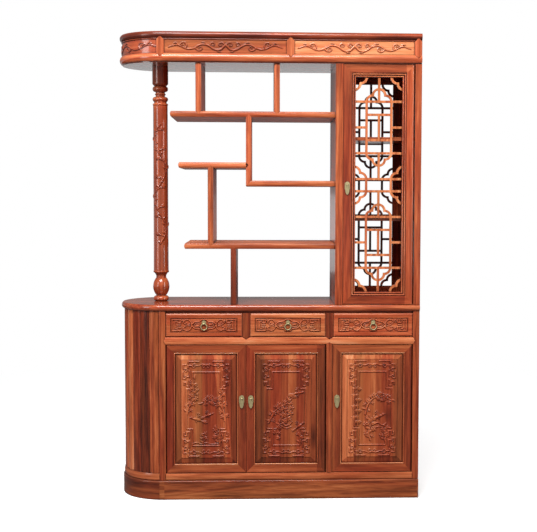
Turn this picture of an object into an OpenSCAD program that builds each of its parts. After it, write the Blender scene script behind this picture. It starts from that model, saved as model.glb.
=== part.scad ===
// Entrance cabinet: a base with a half-round reeded end, three drawers and three doors,
// open display shelves on a turned post, a tall case with a lattice door, and a cornice.
// X runs along the front, +Y to the back, +Z up. The origin is under the middle of the outline.

/* [Overall] */
// Overall width
cab_w = 1300; // [1200:10:1500]
// Overall height
cab_h = 2000; // [1900:10:2100]
// Overall depth, which is also the width of the round end
cab_d = 400; // [360:10:440]

/* [Heights of the base] */
// Height of the plinth
plinth_h = 82; // [60:1:110]
// Height of the foot rail and of the round foot ring
foot_rail_h = 31; // [26:1:40]
// Height of the door openings
door_open_h = 560; // [480:5:620]
// Height of the rail between doors and drawers
drawer_rail_h = 31; // [26:1:40]
// Height of the drawer openings
drawer_open_h = 104; // [90:1:130]
// Height of the rail under the counter
top_rail_h = 10; // [8:1:20]
// Thickness of the counter board
counter_t = 26; // [22:1:34]

/* [Setbacks from the outline] */
// Setback of the counter edge
counter_in = 1; // [0:1:6]
// Setback of doors, drawer fronts and the edges of the posts
base_in = 13; // [10:1:20]
// Setback of the plinth
plinth_in = 5; // [2:1:12]
// Setback of the foot, drawer and top rails at their crowns
rail_in = 9; // [7:1:14]
// Setback of the tall case stiles
case_in = 5; // [4:1:10]
// Setback of the shelves
shelf_in = 18; // [12:1:30]

/* [Base] */
// Length of the round end, from its tip to the corner post
end_len = 179; // [160:1:195]
// Width of a corner post
post_w = 28; // [24:1:36]
// Width of the post between the pair of doors and the right door
mid_post_w = 26; // [22:1:34]
// Width of the opening of the right door
bay_right_w = 348.5; // [300:0.5:380]
// Width of a drawer muntin
muntin_w = 33; // [28:1:40]
// How far the rounded faces of posts and rails stand out
face_crown = 3; // [2:0.5:4]
// Depth of the foot, drawer and top rails
rail_d = 30; // [26:1:36]
// Thickness of boards inside the carcass
board_t = 18; // [15:1:20]
// Thickness of the panel in the right end
side_panel_t = 10; // [8:1:12]
// Height of the inner shelves above the floor board
inner_shelf_z = 268; // [200:1:330]
// Thickness of plinth boards
plinth_t = 18; // [15:1:22]
// Rounding of the plinth's top edge
plinth_round = 5; // [3:1:7]

/* [Round end] */
// Number of upright staves in the round end
stave_count = 12; // [8:1:16]
// Thickness of a stave
stave_t = 18; // [14:1:22]
// Depth of the grooves between the staves
stave_groove = 3; // [2:0.5:4]

/* [Drawers] */
// Gap round doors and drawer fronts
door_gap = 1.5; // [1:0.5:2]
// Thickness of a drawer front
drawer_front_t = 18; // [16:1:22]
// Thickness of drawer sides and backs
drawer_side_t = 10; // [8:1:12]
// Thickness of a drawer bottom
drawer_bottom_t = 6; // [4:1:8]
// Height of a drawer side
drawer_side_h = 82; // [60:1:84]
// Width of the frame cut round the carved field of a drawer front
drawer_margin = 19; // [14:1:24]
// Depth of the carved field of a drawer front
drawer_sink = 3; // [2:0.5:4]

/* [Doors] */
// Thickness of a door
door_t = 22; // [20:1:24]
// Width of the mitred frame of a base door
door_frame_w = 38; // [34:1:46]
// Width of the bead on the inner edge of a frame
bead_w = 5; // [4:0.5:7]
// Width of the slope round a raised panel
panel_slope = 24; // [16:1:30]
// Thickness of the tongue of a panel
tongue_t = 6; // [4:0.5:8]
// Depth of the grooves that hold tongues
groove_d = 6; // [4:0.5:8]
// Radius of a wooden door pivot
pivot_r = 5; // [4:0.5:6]
// Length of a door pivot in its socket
pivot_len = 7; // [5:1:8]
// Gap under and over a door
pivot_gap = 3; // [2.5:0.5:4]
// Radial clearance of pivots and pins
pin_play = 0.06; // [0.03:0.01:0.1]

/* [Brass] */
// Width of a door pull's back plate
plate_w = 22; // [18:1:24]
// Length of a door pull's back plate
plate_l = 40; // [34:1:50]
// Thickness of back plates and bosses
plate_t = 1.4; // [1:0.1:2]
// Height of a door pull's top above the door's bottom edge
pull_z = 336; // [280:1:400]
// Height of the tall door's pull top above its bottom edge
case_pull_z = 525; // [440:1:600]
// Length of a hanging leaf
leaf_l = 42; // [34:1:44]
// Width of a hanging leaf at its widest
leaf_w = 17; // [12:1:20]
// Thickness of a hanging leaf
leaf_t = 2; // [1.6:0.1:2.4]
// Radius of the leaf's pin
leaf_pin_r = 1.2; // [1:0.1:1.5]
// Radius of a drawer boss
boss_r = 9; // [7:0.5:11]
// Middle radius of a drawer ring
ring_r = 13; // [11:0.5:15]
// Radius of the ring's wire
ring_wire_r = 2; // [1.6:0.1:2.2]
// Height of the ring's eye above the drawer front's middle
ring_eye_z = 6; // [4:1:10]

/* [Display shelves] */
// Thickness of a shelf
shelf_t = 24; // [20:1:28]
// Thickness of an upright divider
divider_t = 24; // [20:1:28]
// How far shelf and divider edges bow out
shelf_crown = 4; // [2:0.5:5]
// Height of the lowest shelf's top above the counter
shelf_low_z = 263; // [220:1:300]
// Height of the middle shelf's top above the counter
shelf_middle_z = 531; // [440:1:560]
// Height of the left shelf's top above the counter
shelf_left_z = 608; // [590:1:660]
// Height of the top shelf's top above the counter
shelf_top_z = 824; // [760:1:860]
// Length of the lowest shelf
shelf_low_len = 645; // [620:1:680]
// Length of the left shelf
shelf_left_len = 287; // [240:1:310]
// Length of the top shelf
shelf_top_len = 703; // [660:1:720]
// Distance of the first upper divider from the tall case
divider_a_x = 583; // [560:1:610]
// Distance of the second upper divider from the tall case
divider_b_x = 249.5; // [200:0.5:300]
// Distance of the divider between left and middle shelf from the tall case
divider_c_x = 370; // [340:1:400]
// Distance of the divider over the lowest shelf from the tall case
divider_d_x = 532.5; // [500:0.5:560]
// Distance of the divider under the lowest shelf from the tall case
divider_e_x = 435.5; // [400:0.5:470]
// Length of tenons on posts, dividers and shelves
tenon_len = 8; // [6:1:10]
// Thickness of tenons
tenon_t = 10; // [8:1:12]
// Depth of the mitred shoulders at the front of the joints
shoulder_d = 9; // [7:1:12]

/* [Turned post] */
// Clear gap between the tip of the top shelf and the turned post's shaft
post_gap = 23; // [16:1:40]
// Radius of the shaft at its foot
shaft_r = 33; // [28:0.5:38]
// Radius of the shaft under its neck
shaft_top_r = 31.6; // [27:0.1:36]
// Radius of the post's spigots
spigot_r = 14; // [10:1:18]
// Length of the post's spigots
spigot_len = 12; // [8:1:14]

/* [Tall case] */
// Width of the tall case
case_w = 367; // [330:1:400]
// Width of the case's left stiles
case_stile_w = 32; // [26:1:40]
// Width of the case's right stiles
case_stile_right_w = 28; // [24:1:36]
// Depth of a case stile
case_stile_d = 28; // [24:1:34]
// Recess of the tall door behind its stiles
case_door_in = 3; // [2:1:5]
// Width of the tall door's frame with its beads
case_frame_w = 52; // [44:1:58]
// Width of the two stepped beads of the tall door's frame
case_bead_w = 18; // [14:1:22]
// Thickness of case walls
case_wall_t = 18; // [15:1:20]
// Thickness of the shelves in the case
case_shelf_t = 15; // [12:1:18]
// Height of the lower case shelf's top above the counter
case_shelf_low_z = 375; // [320:1:420]
// Height of the upper case shelf's top above the counter
case_shelf_high_z = 719; // [660:1:760]

/* [Lattice] */
// Width of a lattice bar
bar_w = 10; // [7:0.5:12]
// Thickness of the lattice
bar_t = 10; // [8:0.5:12]
// Distance of the medallion bars from the middle line
medallion_x = 53; // [46:0.5:60]
// Height of the medallion's straight sides
medallion_h = 219; // [180:1:240]
// Height of the medallion's middle above the lattice's middle
medallion_z = 245.5; // [230:0.5:260]
// Height of the inner square of a medallion
inner_square_h = 108; // [80:1:130]
// Spacing of the two middle bars
middle_h = 52; // [40:1:64]

/* [Cornice] */
// Height of the cornice
cornice_h = 129; // [110:1:150]
// How far the cornice floor drops below the foot moulding
cornice_lip = 5; // [3:1:8]
// Height of the foot moulding
cornice_foot_h = 33; // [28:1:38]
// Height of the crown moulding with its bead
cornice_crown_h = 35; // [30:1:40]
// Height of the bead under the crown moulding
cornice_bead_h = 8; // [6:1:10]
// Depth of the mouldings
moulding_d = 24; // [22:1:28]
// How far the mouldings' noses bow out
nose_crown = 7; // [4:0.5:8]
// Width of the cornice stiles
cornice_stile_w = 32; // [26:1:40]
// Thickness of the board that closes the cornice from below
cornice_floor_t = 18; // [15:1:20]
// Thickness of the board that closes the cornice from above
lid_t = 12; // [9:1:15]
// Thickness of the cornice panels
cornice_panel_t = 10; // [8:1:12]
// Place of the middle stile, from the right end
cornice_mid_x = 559.5; // [520:0.5:600]

/* [Hidden] */
$fn = 64;

wood = "#b4562c";
wood_light = "#d0733f";
wood_dark = "#8c3a20";
brass = "#b9a56a";

// Outline: a straight front and back with a half circle at the left
out_r = cab_d / 2;
x_left = -cab_w / 2;
x_right = cab_w / 2;
arc_x = x_left + out_r;

// Levels, from the floor up
z_foot = plinth_h;
z_floor = z_foot + foot_rail_h;
z_rail = z_floor + door_open_h;
z_drawer = z_rail + drawer_rail_h;
z_top_rail = z_drawer + drawer_open_h;
z_counter_0 = z_top_rail + top_rail_h;
z_counter = z_counter_0 + counter_t;
z_cornice = cab_h - cornice_h;

// Setbacks inside the carcass: partition behind its post, panel in the right end, back panels,
// tenons within their rails, and the thin rail under the counter behind the faces
partition_in = 4;
side_panel_in = 8;
back_panel_in = 4;
rail_tenon_in = 6;
top_rail_back = 6;
side_rail_h = 40;
back_drop = 8;
back_slope = 14;

// Verticals of the base, from left to right
x_end = x_left + end_len;
x_bay_1 = x_end + post_w;
x_bay_3 = x_right - post_w - bay_right_w;
x_mid = x_bay_3 - mid_post_w;
x_bay_3_end = x_right - post_w;
x_pair = (x_bay_1 + x_mid) / 2;
x_split = x_mid + mid_post_w / 2;
y_face = out_r - base_in;
y_rail = out_r - rail_in;
y_in = y_rail - rail_d;
y_shoulder = y_face - shoulder_d;
drawer_bays = [
    [x_bay_1, x_pair - muntin_w / 2],
    [x_pair + muntin_w / 2, x_split - muntin_w / 2],
    [x_split + muntin_w / 2, x_bay_3_end]
];
x_part_left = x_bay_1 - partition_in - board_t;
x_part_mid = x_split - board_t / 2;
x_side_panel = x_right - side_panel_in - side_panel_t;

// Hairline between glued pieces of one frame or box
joint_gap = 0.05;

// Doors: left edge, width, and whether the pivots are at the right
door_w = (x_mid - x_bay_1 - 3 * door_gap) / 2;
doors = [
    [x_bay_1 + door_gap, door_w, false],
    [x_pair + door_gap / 2, door_w, true],
    [x_bay_3 + door_gap, bay_right_w - 2 * door_gap, true]
];
door_h = door_open_h - 2 * pivot_gap;
z_door = z_floor + pivot_gap;
pivot_in = door_t / 2;

// Tall case
x_case = x_right - case_w;
y_case = out_r - case_in;
y_case_door = y_case - case_door_in;
case_door_x = x_case + case_stile_w + door_gap;
case_door_w = case_w - case_stile_w - case_stile_right_w - 2 * door_gap;
case_door_h = z_cornice - z_counter - 2 * pivot_gap;
z_case_door = z_counter + pivot_gap;

// Shelves and dividers; their tenons stop short of the edges
y_shelf = out_r - shelf_in;
stub_in = 20;
z_low = z_counter + shelf_low_z;
z_middle = z_counter + shelf_middle_z;
z_left = z_counter + shelf_left_z;
z_top = z_counter + shelf_top_z;
x_div_a = x_case - divider_a_x;
x_div_b = x_case - divider_b_x;
x_div_c = x_case - divider_c_x;
x_div_d = x_case - divider_d_x;
x_div_e = x_case - divider_e_x;
x_turned = x_case - shelf_top_len - post_gap - shaft_r;

// Cornice
z_corn_foot = z_cornice + cornice_lip;
z_corn_panel = z_corn_foot + cornice_foot_h;
z_corn_crown = cab_h - cornice_crown_h;
corn_floor_r = out_r - moulding_d / 2;
corn_inner_r = out_r - moulding_d;
corn_panel_in = 10;
corn_panel_r = out_r - corn_panel_in;
corn_groove = 4;
corn_panel_x = x_bay_1 - cornice_stile_w;
corn_shoulder_in = 9;
corn_shoulder_y = out_r - corn_shoulder_in;
corn_rebate = 6;
corn_lid_r = corn_inner_r + corn_rebate;
corn_stile_in = 3;
corn_stiles = [
    [corn_panel_x, corn_panel_x + cornice_stile_w],
    [x_right - cornice_mid_x - cornice_stile_w / 2, x_right - cornice_mid_x + cornice_stile_w / 2],
    [x_right - cornice_stile_w, x_right]
];

// Points at the ends of rails, muntins and cornice stiles, and other details of the frames
rail_tip = 9;
muntin_tip = 10;
stile_tip = cornice_stile_w / 2;
post_crown_y = y_face + face_crown;
z_side_rail = z_counter_0 - side_rail_h;

// Guides beside the drawers, each with a ledge that the drawer sides slide on
guide_reach = 7;
ledge_w = 16;
ledge_t = 14;
guide_h = 40;
side_play = 0.5;
slide_gap = 0.3;
front_gap = 2;
front_bevel = 5;
front_drop = 2.5;
box_back_gap = 14;
tray_up = 8;

// Thickness of the brass ears round a ring's eye and beside a leaf
ear_w = 1.8;

// Drawer ring: height of its eye, distance in front of the sunk field, ear round the eye
ring_z = (z_drawer + z_top_rail) / 2 + ring_eye_z;
eye_out = 6;
ring_y = -y_face + drawer_sink - eye_out;
eye_play = 0.5;
ear_half = 2;
ear_r = ring_wire_r + eye_play + ear_w;
boss_up = 5;
collar_in = 3;
collar_out = 1;

// Door panel and hanging leaf
field_in = 1.5;
field_step = 2;
field_ledge = 1.5;
panel_play = 0.2;
panel_drop = 4.5;
bead_back = 2;
bead_lift = 0.5;
pin_out = 5;
leaf_eye_w = leaf_w * 0.3;
leaf_eye_wall = 1.2;
leaf_eye_r = leaf_pin_r + leaf_eye_wall;
leaf_neck = leaf_l / 3;
leaf_bow_r = leaf_l * 0.62;
leaf_wide_z = leaf_l * 0.6;
leaf_tip_cut = 4;
pin_bite = 0.5;
plate_over_pin = 13;

// Members of the turned post. A bead is its middle's height, its height, and its reach past the
// shaft; heights run up from the counter at the foot and down from the cornice at the head.
foot_bead = [12, 24, 1];
egg = [65, 78, 3];
collar_bead = [131, 11, 1.5];
ring_bead = [164, 11, 0.5];
low_bead = [141, 22, 1];
neck_bead = [119, 9, -9.5];
high_bead = [96, 26, 1];
neck_in = 11;
high_neck_in = 13;
neck_zs = [100, 104, 114, 126];
flare_in = 4;
shaft_zs = [134, 169];
cap_h = 74;
cap_flare_h = 9;
cap_flare_in = 8;
cap_over = 3;

// Lattice: the opening that it fills, its place in the door's thickness, its tabs in the groove
case_flat_w = case_frame_w - case_bead_w;
lattice_x = case_door_x + case_door_w / 2;
lattice_z = z_case_door + case_door_h / 2;
lattice_in = 9;
lattice_tab = 4;
lattice_play = 0.1;
case_bead_r = case_bead_w / 6;
case_bead_lift = [0.8, 0.3];
case_post_crown = 1.5;
case_tenon_in = 8;
y_case_in = y_case - case_stile_d;

// Radius of a face w wide that bows out by b
function crown_r(w, b) = (w * w / 4 + b * b) / (2 * b);

// Upright or level solids from a flat shape
module along_x(x0, x1) {
    translate([x0, 0, 0]) rotate([90, 0, 90]) linear_extrude(x1 - x0) children();
}

module along_y(y0, y1) {
    translate([0, y1, 0]) rotate([90, 0, 0]) linear_extrude(y1 - y0) children();
}

module along_z(z0, z1) {
    translate([0, 0, z0]) linear_extrude(z1 - z0) children();
}

module block(x0, x1, y0, y1, z0, z1) {
    translate([x0, y0, z0]) cube([x1 - x0, y1 - y0, z1 - z0]);
}

// The same solid at the front and at the back
module both_sides() {
    children();
    mirror([0, 1, 0]) children();
}

// A rectangle w by d whose edge at y = 0 bows out by b
module crowned(w, d, b) {
    r = crown_r(w, b);
    intersection() {
        square([w, d]);
        union() {
            translate([w / 2, r]) circle(r);
            translate([-1, r]) square([w + 2, d]);
        }
    }
}

// A rectangle w by d that bows out by b at both ends of d
module twice_crowned(w, d, b) {
    crowned(w, d / 2, b);
    translate([0, d]) mirror([0, 1]) crowned(w, d / 2, b);
}

// Half ring round the left end, from a profile of radius and height
module half_ring() {
    translate([arc_x, 0, 0]) rotate([0, 0, 90]) rotate_extrude(angle = 180) children();
}

// Half ring and two straight runs that follow the outline
module plan_sweep(x_stop) {
    half_ring() children();
    both_sides() along_x(arc_x, x_stop) children();
}

// Half ring alone, cut off at x_stop
module end_sweep(x_stop) {
    intersection() {
        half_ring() children();
        block(x_left - 1, x_stop, -out_r - 1, out_r + 1, -1, cab_h + 1);
    }
}

// Rest of the outline, from x0 to x1: a short bent piece and two straight runs
module straight_sweep(x0, x1) {
    intersection() {
        plan_sweep(x1) children();
        block(x0, x1, -out_r - 1, out_r + 1, -1, cab_h + 1);
    }
}

// Flat outline of radius r, up to x_stop
module plan(r, x_stop) {
    translate([arc_x, 0]) circle(r, $fn = 128);
    translate([arc_x, -r]) square([x_stop - arc_x, 2 * r]);
}

// Edge-on block of a rail: outer edge at y_out, its face bowed by b
module rail_profile(y_out, d, z0, h, b) {
    translate([y_out, z0]) rotate([0, 0, 90]) crowned(h, d, b);
}

// Outline of a level member whose ends run out in points
module pointed_x(x0, x1, tip0, tip1, z0, h) {
    polygon([
        [x0, z0], [x1, z0], [x1 + tip1, z0 + h / 2],
        [x1, z0 + h], [x0, z0 + h], [x0 - tip0, z0 + h / 2]
    ]);
}

// Outline of an upright member whose ends run out in points
module pointed_z(x0, w, z0, z1, tip0, tip1) {
    polygon([
        [x0, z0], [x0 + w / 2, z0 - tip0], [x0 + w, z0],
        [x0 + w, z1], [x0 + w / 2, z1 + tip1], [x0, z1]
    ]);
}

// Notch in a front member for the point of an upright, which is higher where tip is negative
module notch_z(x0, w, z, tip) {
    along_y(-out_r, -y_shoulder) polygon([[x0, z], [x0 + w / 2, z - tip], [x0 + w, z]]);
}

// Front rail along X: the points lie only in its outer layer
module rail_x(tip, z0, h) {
    x0 = x_bay_1;
    x1 = x_bay_3_end;
    intersection() {
        mirror([0, 1, 0]) along_x(x0 - tip, x1 + tip) rail_profile(y_rail, rail_d, z0, h, face_crown);
        union() {
            along_y(-y_rail, -y_shoulder) pointed_x(x0, x1, tip, tip, z0, h);
            block(x0, x1, -y_shoulder, -y_in, z0, z0 + h);
        }
    }
}

// Front upright from y_out back to y_back: the points lie only in front of y_step
module upright_z(x0, w, z0, z1, tip0, tip1, y_out, y_step, y_back) {
    intersection() {
        along_z(z0 - tip0, z1 + tip1) translate([x0, -y_out])
            crowned(w, y_out - y_back, face_crown);
        union() {
            along_y(-y_out, -y_step) pointed_z(x0, w, z0, z1, tip0, tip1);
            block(x0, x0 + w, -y_step, -y_back, z0, z1);
        }
    }
}

// Block whose front edges slope back by drop over a width of run
module bevel_block(x0, x1, z0, z1, y0, y1, run, drop) {
    intersection() {
        along_z(z0, z1) polygon([
            [x0, y1], [x1, y1], [x1, y0 + drop],
            [x1 - run, y0], [x0 + run, y0], [x0, y0 + drop]
        ]);
        along_x(x0, x1) polygon([
            [y1, z0], [y1, z1], [y0 + drop, z1],
            [y0, z1 - run], [y0, z0 + run], [y0 + drop, z0]
        ]);
    }
}

// Four mitred pieces round an opening, w by h, from a profile of depth and distance inwards
module mitred_frame(w, h, fw, t) {
    g = joint_gap;
    for (flip = [0, 1]) {
        translate([0, 0, flip * h]) mirror([0, 0, flip]) intersection() {
            along_x(0, w) children();
            along_y(0, t) polygon([[0, 0], [w, 0], [w - fw, fw], [fw, fw]]);
        }
        translate([flip * w, 0, 0]) mirror([flip, 0, 0]) intersection() {
            along_z(0, h) mirror([1, -1]) children();
            along_y(0, t) polygon([[0, g], [fw, fw + g], [fw, h - fw - g], [0, h - g]]);
        }
    }
}

// Plinth

module plinth_profile() {
    translate([out_r - plinth_in - plinth_t, 0]) {
        square([plinth_t - plinth_round, plinth_h]);
        square([plinth_t, plinth_h - plinth_round]);
        translate([plinth_t - plinth_round, plinth_h - plinth_round]) circle(plinth_round);
    }
}

module plinth_end() {
    color(wood) end_sweep(x_end) plinth_profile();
}

module plinth_boards() {
    y_plinth = out_r - plinth_in - plinth_t - joint_gap;
    color(wood) {
        straight_sweep(x_end, x_right) plinth_profile();
        block(x_right - plinth_t, x_right, -y_plinth, y_plinth, 0, plinth_h);
        for (x = [arc_x, x_pair, x_split]) {
            block(x, x + plinth_t, -y_plinth, y_plinth, 0, plinth_h);
            block(x, x + plinth_t, -y_in, y_in, plinth_h - 1, z_floor - board_t);
        }
    }
}

// Carcass of the base

module base_floor() {
    color(wood_dark) along_z(z_floor - board_t, z_floor) plan(y_in, x_bay_3_end);
}

module foot_ring() {
    color(wood) end_sweep(x_end) rail_profile(y_rail, rail_d, z_foot, foot_rail_h, face_crown);
}

// One stave about the middle angle a, half an angle to each side
module stave(a, half) {
    r_edge = y_face - stave_groove;
    chord = r_edge * sin(half);
    rise = y_face - r_edge * cos(half);
    bow_r = (chord * chord + rise * rise) / (2 * rise);
    slim = half - 0.01;
    far_x = 2 * y_face * cos(slim);
    far_y = 2 * y_face * sin(slim);
    rotate(a) difference() {
        intersection() {
            polygon([[0, 0], [far_x, -far_y], [far_x, far_y]]);
            translate([y_face - bow_r, 0]) circle(bow_r);
        }
        circle(y_face - stave_t, $fn = 128);
    }
}

module end_staves() {
    first = acos((x_end - arc_x) / y_face);
    half = (180 - first) / stave_count;
    color(wood) intersection() {
        translate([arc_x, 0, z_floor]) linear_extrude(z_counter_0 - z_floor)
            for (i = [0 : stave_count - 1]) stave(first + (2 * i + 1) * half, half);
        block(x_left, x_end, -out_r, out_r, 0, cab_h);
    }
}

// Tenons of the long rails in the corner posts
module rail_tenons() {
    y_tenon = y_in + (y_shoulder - y_in - tenon_t) / 2;
    for (x = [x_bay_1 - tenon_len, x_bay_3_end])
        for (z = [[z_foot, foot_rail_h], [z_rail, drawer_rail_h]])
            block(x, x + tenon_len, -y_tenon - tenon_t, -y_tenon, z[0] + rail_tenon_in,
                z[0] + z[1] - rail_tenon_in);
}

module corner_posts() {
    difference() {
        for (x = [x_end, x_bay_3_end])
            upright_z(x, post_w, z_foot, z_counter_0, 0, 0, post_crown_y, y_shoulder, y_in);
        rail_tenons();
        along_y(-out_r, -y_shoulder)
            pointed_x(x_bay_1, x_bay_3_end, rail_tip, rail_tip, z_rail, drawer_rail_h);
    }
}

module front_posts() {
    color(wood) {
        corner_posts();
        upright_z(x_mid, mid_post_w, z_floor, z_rail, 0, rail_tip, post_crown_y, y_shoulder, y_in);
    }
}

module back_posts() {
    color(wood) mirror([0, 1, 0]) {
        corner_posts();
        for (x = [x_pair, x_split])
            upright_z(x - mid_post_w / 2, mid_post_w, z_floor, z_rail, 0, rail_tip, post_crown_y,
                y_shoulder, y_in);
    }
}

// Rails of one side, with notches for the posts at mids and for the drawer muntins
module long_rails(mids) {
    rail_x(0, z_foot, foot_rail_h);
    difference() {
        rail_x(rail_tip, z_rail, drawer_rail_h);
        for (x = [x_pair, x_split])
            notch_z(x - muntin_w / 2, muntin_w, z_drawer, muntin_tip);
        for (x = mids)
            notch_z(x, mid_post_w, z_rail, -rail_tip);
    }
    block(x_bay_1, x_bay_3_end, -y_face + top_rail_back, -y_in, z_top_rail, z_counter_0);
    rail_tenons();
}

module front_rails() {
    color(wood_light) difference() {
        long_rails([x_mid]);
        for (d = doors)
            translate([d[2] ? d[0] + d[1] - pivot_in : d[0] + pivot_in, -y_face + pivot_in, 0])
                pivot_sockets(z_floor, z_rail);
    }
}

module carcass_rails() {
    color(wood_light) {
        mirror([0, 1, 0]) long_rails([x_pair - mid_post_w / 2, x_split - mid_post_w / 2]);
        block(x_bay_3_end, x_right, -y_in, y_in, z_foot, z_floor);
        block(x_bay_3_end, x_right, -y_in, y_in, z_side_rail, z_counter_0);
    }
}

module drawer_muntins() {
    color(wood_dark) both_sides()
        for (x = [x_pair, x_split])
            upright_z(x - muntin_w / 2, muntin_w, z_drawer, z_top_rail, muntin_tip, 0,
                y_face, y_shoulder, y_in);
}

module back_panels() {
    half = mid_post_w / 2;
    fields = [
        [x_bay_1, x_pair - half], [x_pair + half, x_split - half], [x_split + half, x_bay_3_end]
    ];
    y0 = -y_face + back_panel_in;
    y1 = -y_in - back_panel_in;
    color(wood) mirror([0, 1, 0]) {
        for (b = fields)
            bevel_block(b[0], b[1], z_floor, z_rail, y0, y1, panel_slope, back_drop);
        for (b = drawer_bays)
            bevel_block(b[0], b[1], z_drawer, z_top_rail, y0, y1, back_slope, back_drop);
    }
}

module side_panel() {
    color(wood)
        block(x_side_panel, x_side_panel + side_panel_t, -y_in, y_in, z_floor, z_side_rail);
}

module partitions() {
    color(wood_dark)
        for (x = [x_part_left, x_part_mid])
            block(x, x + board_t, -y_in, y_in, z_floor, z_counter_0);
}

module inner_shelves() {
    z = z_floor + inner_shelf_z;
    color(wood_dark) {
        block(x_part_left + board_t, x_part_mid, -y_in, y_in, z, z + board_t);
        block(x_part_mid + board_t, x_side_panel, -y_in, y_in, z, z + board_t);
    }
}

module drawer_runners() {
    g = guide_reach;
    b = drawer_bays;
    guides = [
        [x_part_left + board_t, b[0][0] + g, 0, ledge_w],
        [b[0][1] - g, b[1][0] + g, ledge_w, ledge_w],
        [b[1][1] - g, x_part_mid, ledge_w, 0],
        [x_part_mid + board_t, b[2][0] + g, 0, ledge_w],
        [b[2][1] - g, x_side_panel, ledge_w, 0]
    ];
    color(wood_dark)
        for (r = guides) {
            block(r[0], r[1], -y_in, y_in, z_drawer - ledge_t, z_drawer + guide_h);
            block(r[0] - r[2], r[1] + r[3], -y_in, y_in, z_drawer - ledge_t, z_drawer);
        }
}

module counter_top() {
    r = out_r - counter_in;
    color(wood) difference() {
        plan_sweep(x_right) rail_profile(r, r, z_counter_0, counter_t, nose_crown);
        turned_spigots(pin_play);
        case_tenons();
        divider_tenons();
        case_sockets();
    }
}

// Drawers

function drawer_x(i) = [drawer_bays[i][0] + door_gap, drawer_bays[i][1] - door_gap];

function drawer_mid(i) = (drawer_bays[i][0] + drawer_bays[i][1]) / 2;

module drawer_front(i) {
    x = drawer_x(i);
    z0 = z_drawer + front_gap;
    z1 = z_top_rail - front_gap;
    m = drawer_margin;
    color(wood_light) difference() {
        bevel_block(x[0], x[1], z0, z1, -y_face, -y_face + drawer_front_t,
            front_bevel, front_drop);
        block(x[0] + m, x[1] - m, -out_r, -y_face + drawer_sink, z0 + m, z1 - m);
    }
}

module drawer_box(i) {
    x0 = drawer_bays[i][0] + guide_reach + side_play;
    x1 = drawer_bays[i][1] - guide_reach - side_play;
    y0 = -y_face + drawer_front_t;
    y1 = y_in - box_back_gap;
    z0 = z_drawer + slide_gap;
    z1 = z0 + drawer_side_h;
    z_tray = z0 + tray_up;
    t = drawer_side_t;
    g = joint_gap;
    color(wood_dark) {
        block(x0, x0 + t, y0, y1, z0, z1);
        block(x1 - t, x1, y0, y1, z0, z1);
        block(x0 + t + g, x1 - t - g, y1 - t, y1, z_tray, z1);
        block(x0 + t + g, x1 - t - g, y0, y1 - t - g, z_tray, z_tray + drawer_bottom_t);
    }
}

// Boss: a round plate, a raised collar, and an ear that the ring hangs in
module drawer_boss(i) {
    color(brass) translate([drawer_mid(i), -y_face + drawer_sink, ring_z]) difference() {
        union() {
            translate([0, 0, boss_up]) rotate([90, 0, 0]) rotate_extrude() {
                square([boss_r, plate_t]);
                square([boss_r - collar_in, plate_t + collar_out]);
            }
            translate([-ear_half, -eye_out, -ear_r]) cube([2 * ear_half, eye_out, 2 * ear_r]);
            translate([-ear_half, -eye_out, 0]) rotate([0, 90, 0])
                cylinder(r = ear_r, h = 2 * ear_half);
        }
        translate([-boss_r, -eye_out, 0]) rotate([0, 90, 0])
            cylinder(r = ring_wire_r + eye_play, h = 2 * boss_r);
    }
}

module drawer_ring(i) {
    color(brass) translate([drawer_mid(i), ring_y, ring_z - ring_r]) rotate([90, 0, 0])
        rotate_extrude() translate([ring_r, 0]) circle(ring_wire_r, $fn = 24);
}

// Doors

// Section of a door frame: flat face, quirk and bead, and a groove for the panel
module door_profile() {
    flat = door_frame_w - bead_w;
    groove_y = (door_t - tongue_t) / 2;
    difference() {
        union() {
            square([door_t, flat]);
            translate([bead_back, flat]) square([door_t - bead_back, bead_w]);
            translate([bead_w / 2 + bead_lift, flat + bead_w / 2]) circle(bead_w / 2, $fn = 32);
        }
        translate([groove_y, door_frame_w - groove_d]) square([tongue_t, groove_d + 1]);
    }
}

// Door blank with the pivot edge rounded about the pivot
module pivot_blank(w, h) {
    translate([pivot_in, 0, 0]) cube([w - pivot_in, door_t, h]);
    translate([pivot_in, pivot_in, 0]) cylinder(r = pivot_in, h = h);
}

module pivots(h) {
    long = pivot_gap + pivot_len;
    translate([pivot_in, pivot_in, -long]) cylinder(r = pivot_r, h = long);
    translate([pivot_in, pivot_in, h]) cylinder(r = pivot_r, h = long);
}

module pivot_sockets(z0, z1) {
    deep = pivot_len + slide_gap;
    translate([0, 0, z0 - deep]) cylinder(r = pivot_r + pin_play, h = deep + 1);
    translate([0, 0, z1 - 1]) cylinder(r = pivot_r + pin_play, h = deep + 1);
}

// Frame of any door, lower left front corner at the origin, pivots at the left or the right
module pivot_door(w, h, fw, at_right) {
    side = at_right ? 1 : 0;
    translate([side * w, 0, 0]) mirror([side, 0, 0]) {
        intersection() {
            mitred_frame(w, h, fw, door_t) children();
            pivot_blank(w, h);
        }
        pivots(h);
    }
}

module door_frame(i) {
    d = doors[i];
    color(wood) translate([d[0], -y_face, z_door])
        pivot_door(d[1], door_h, door_frame_w, d[2]) door_profile();
}

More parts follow.
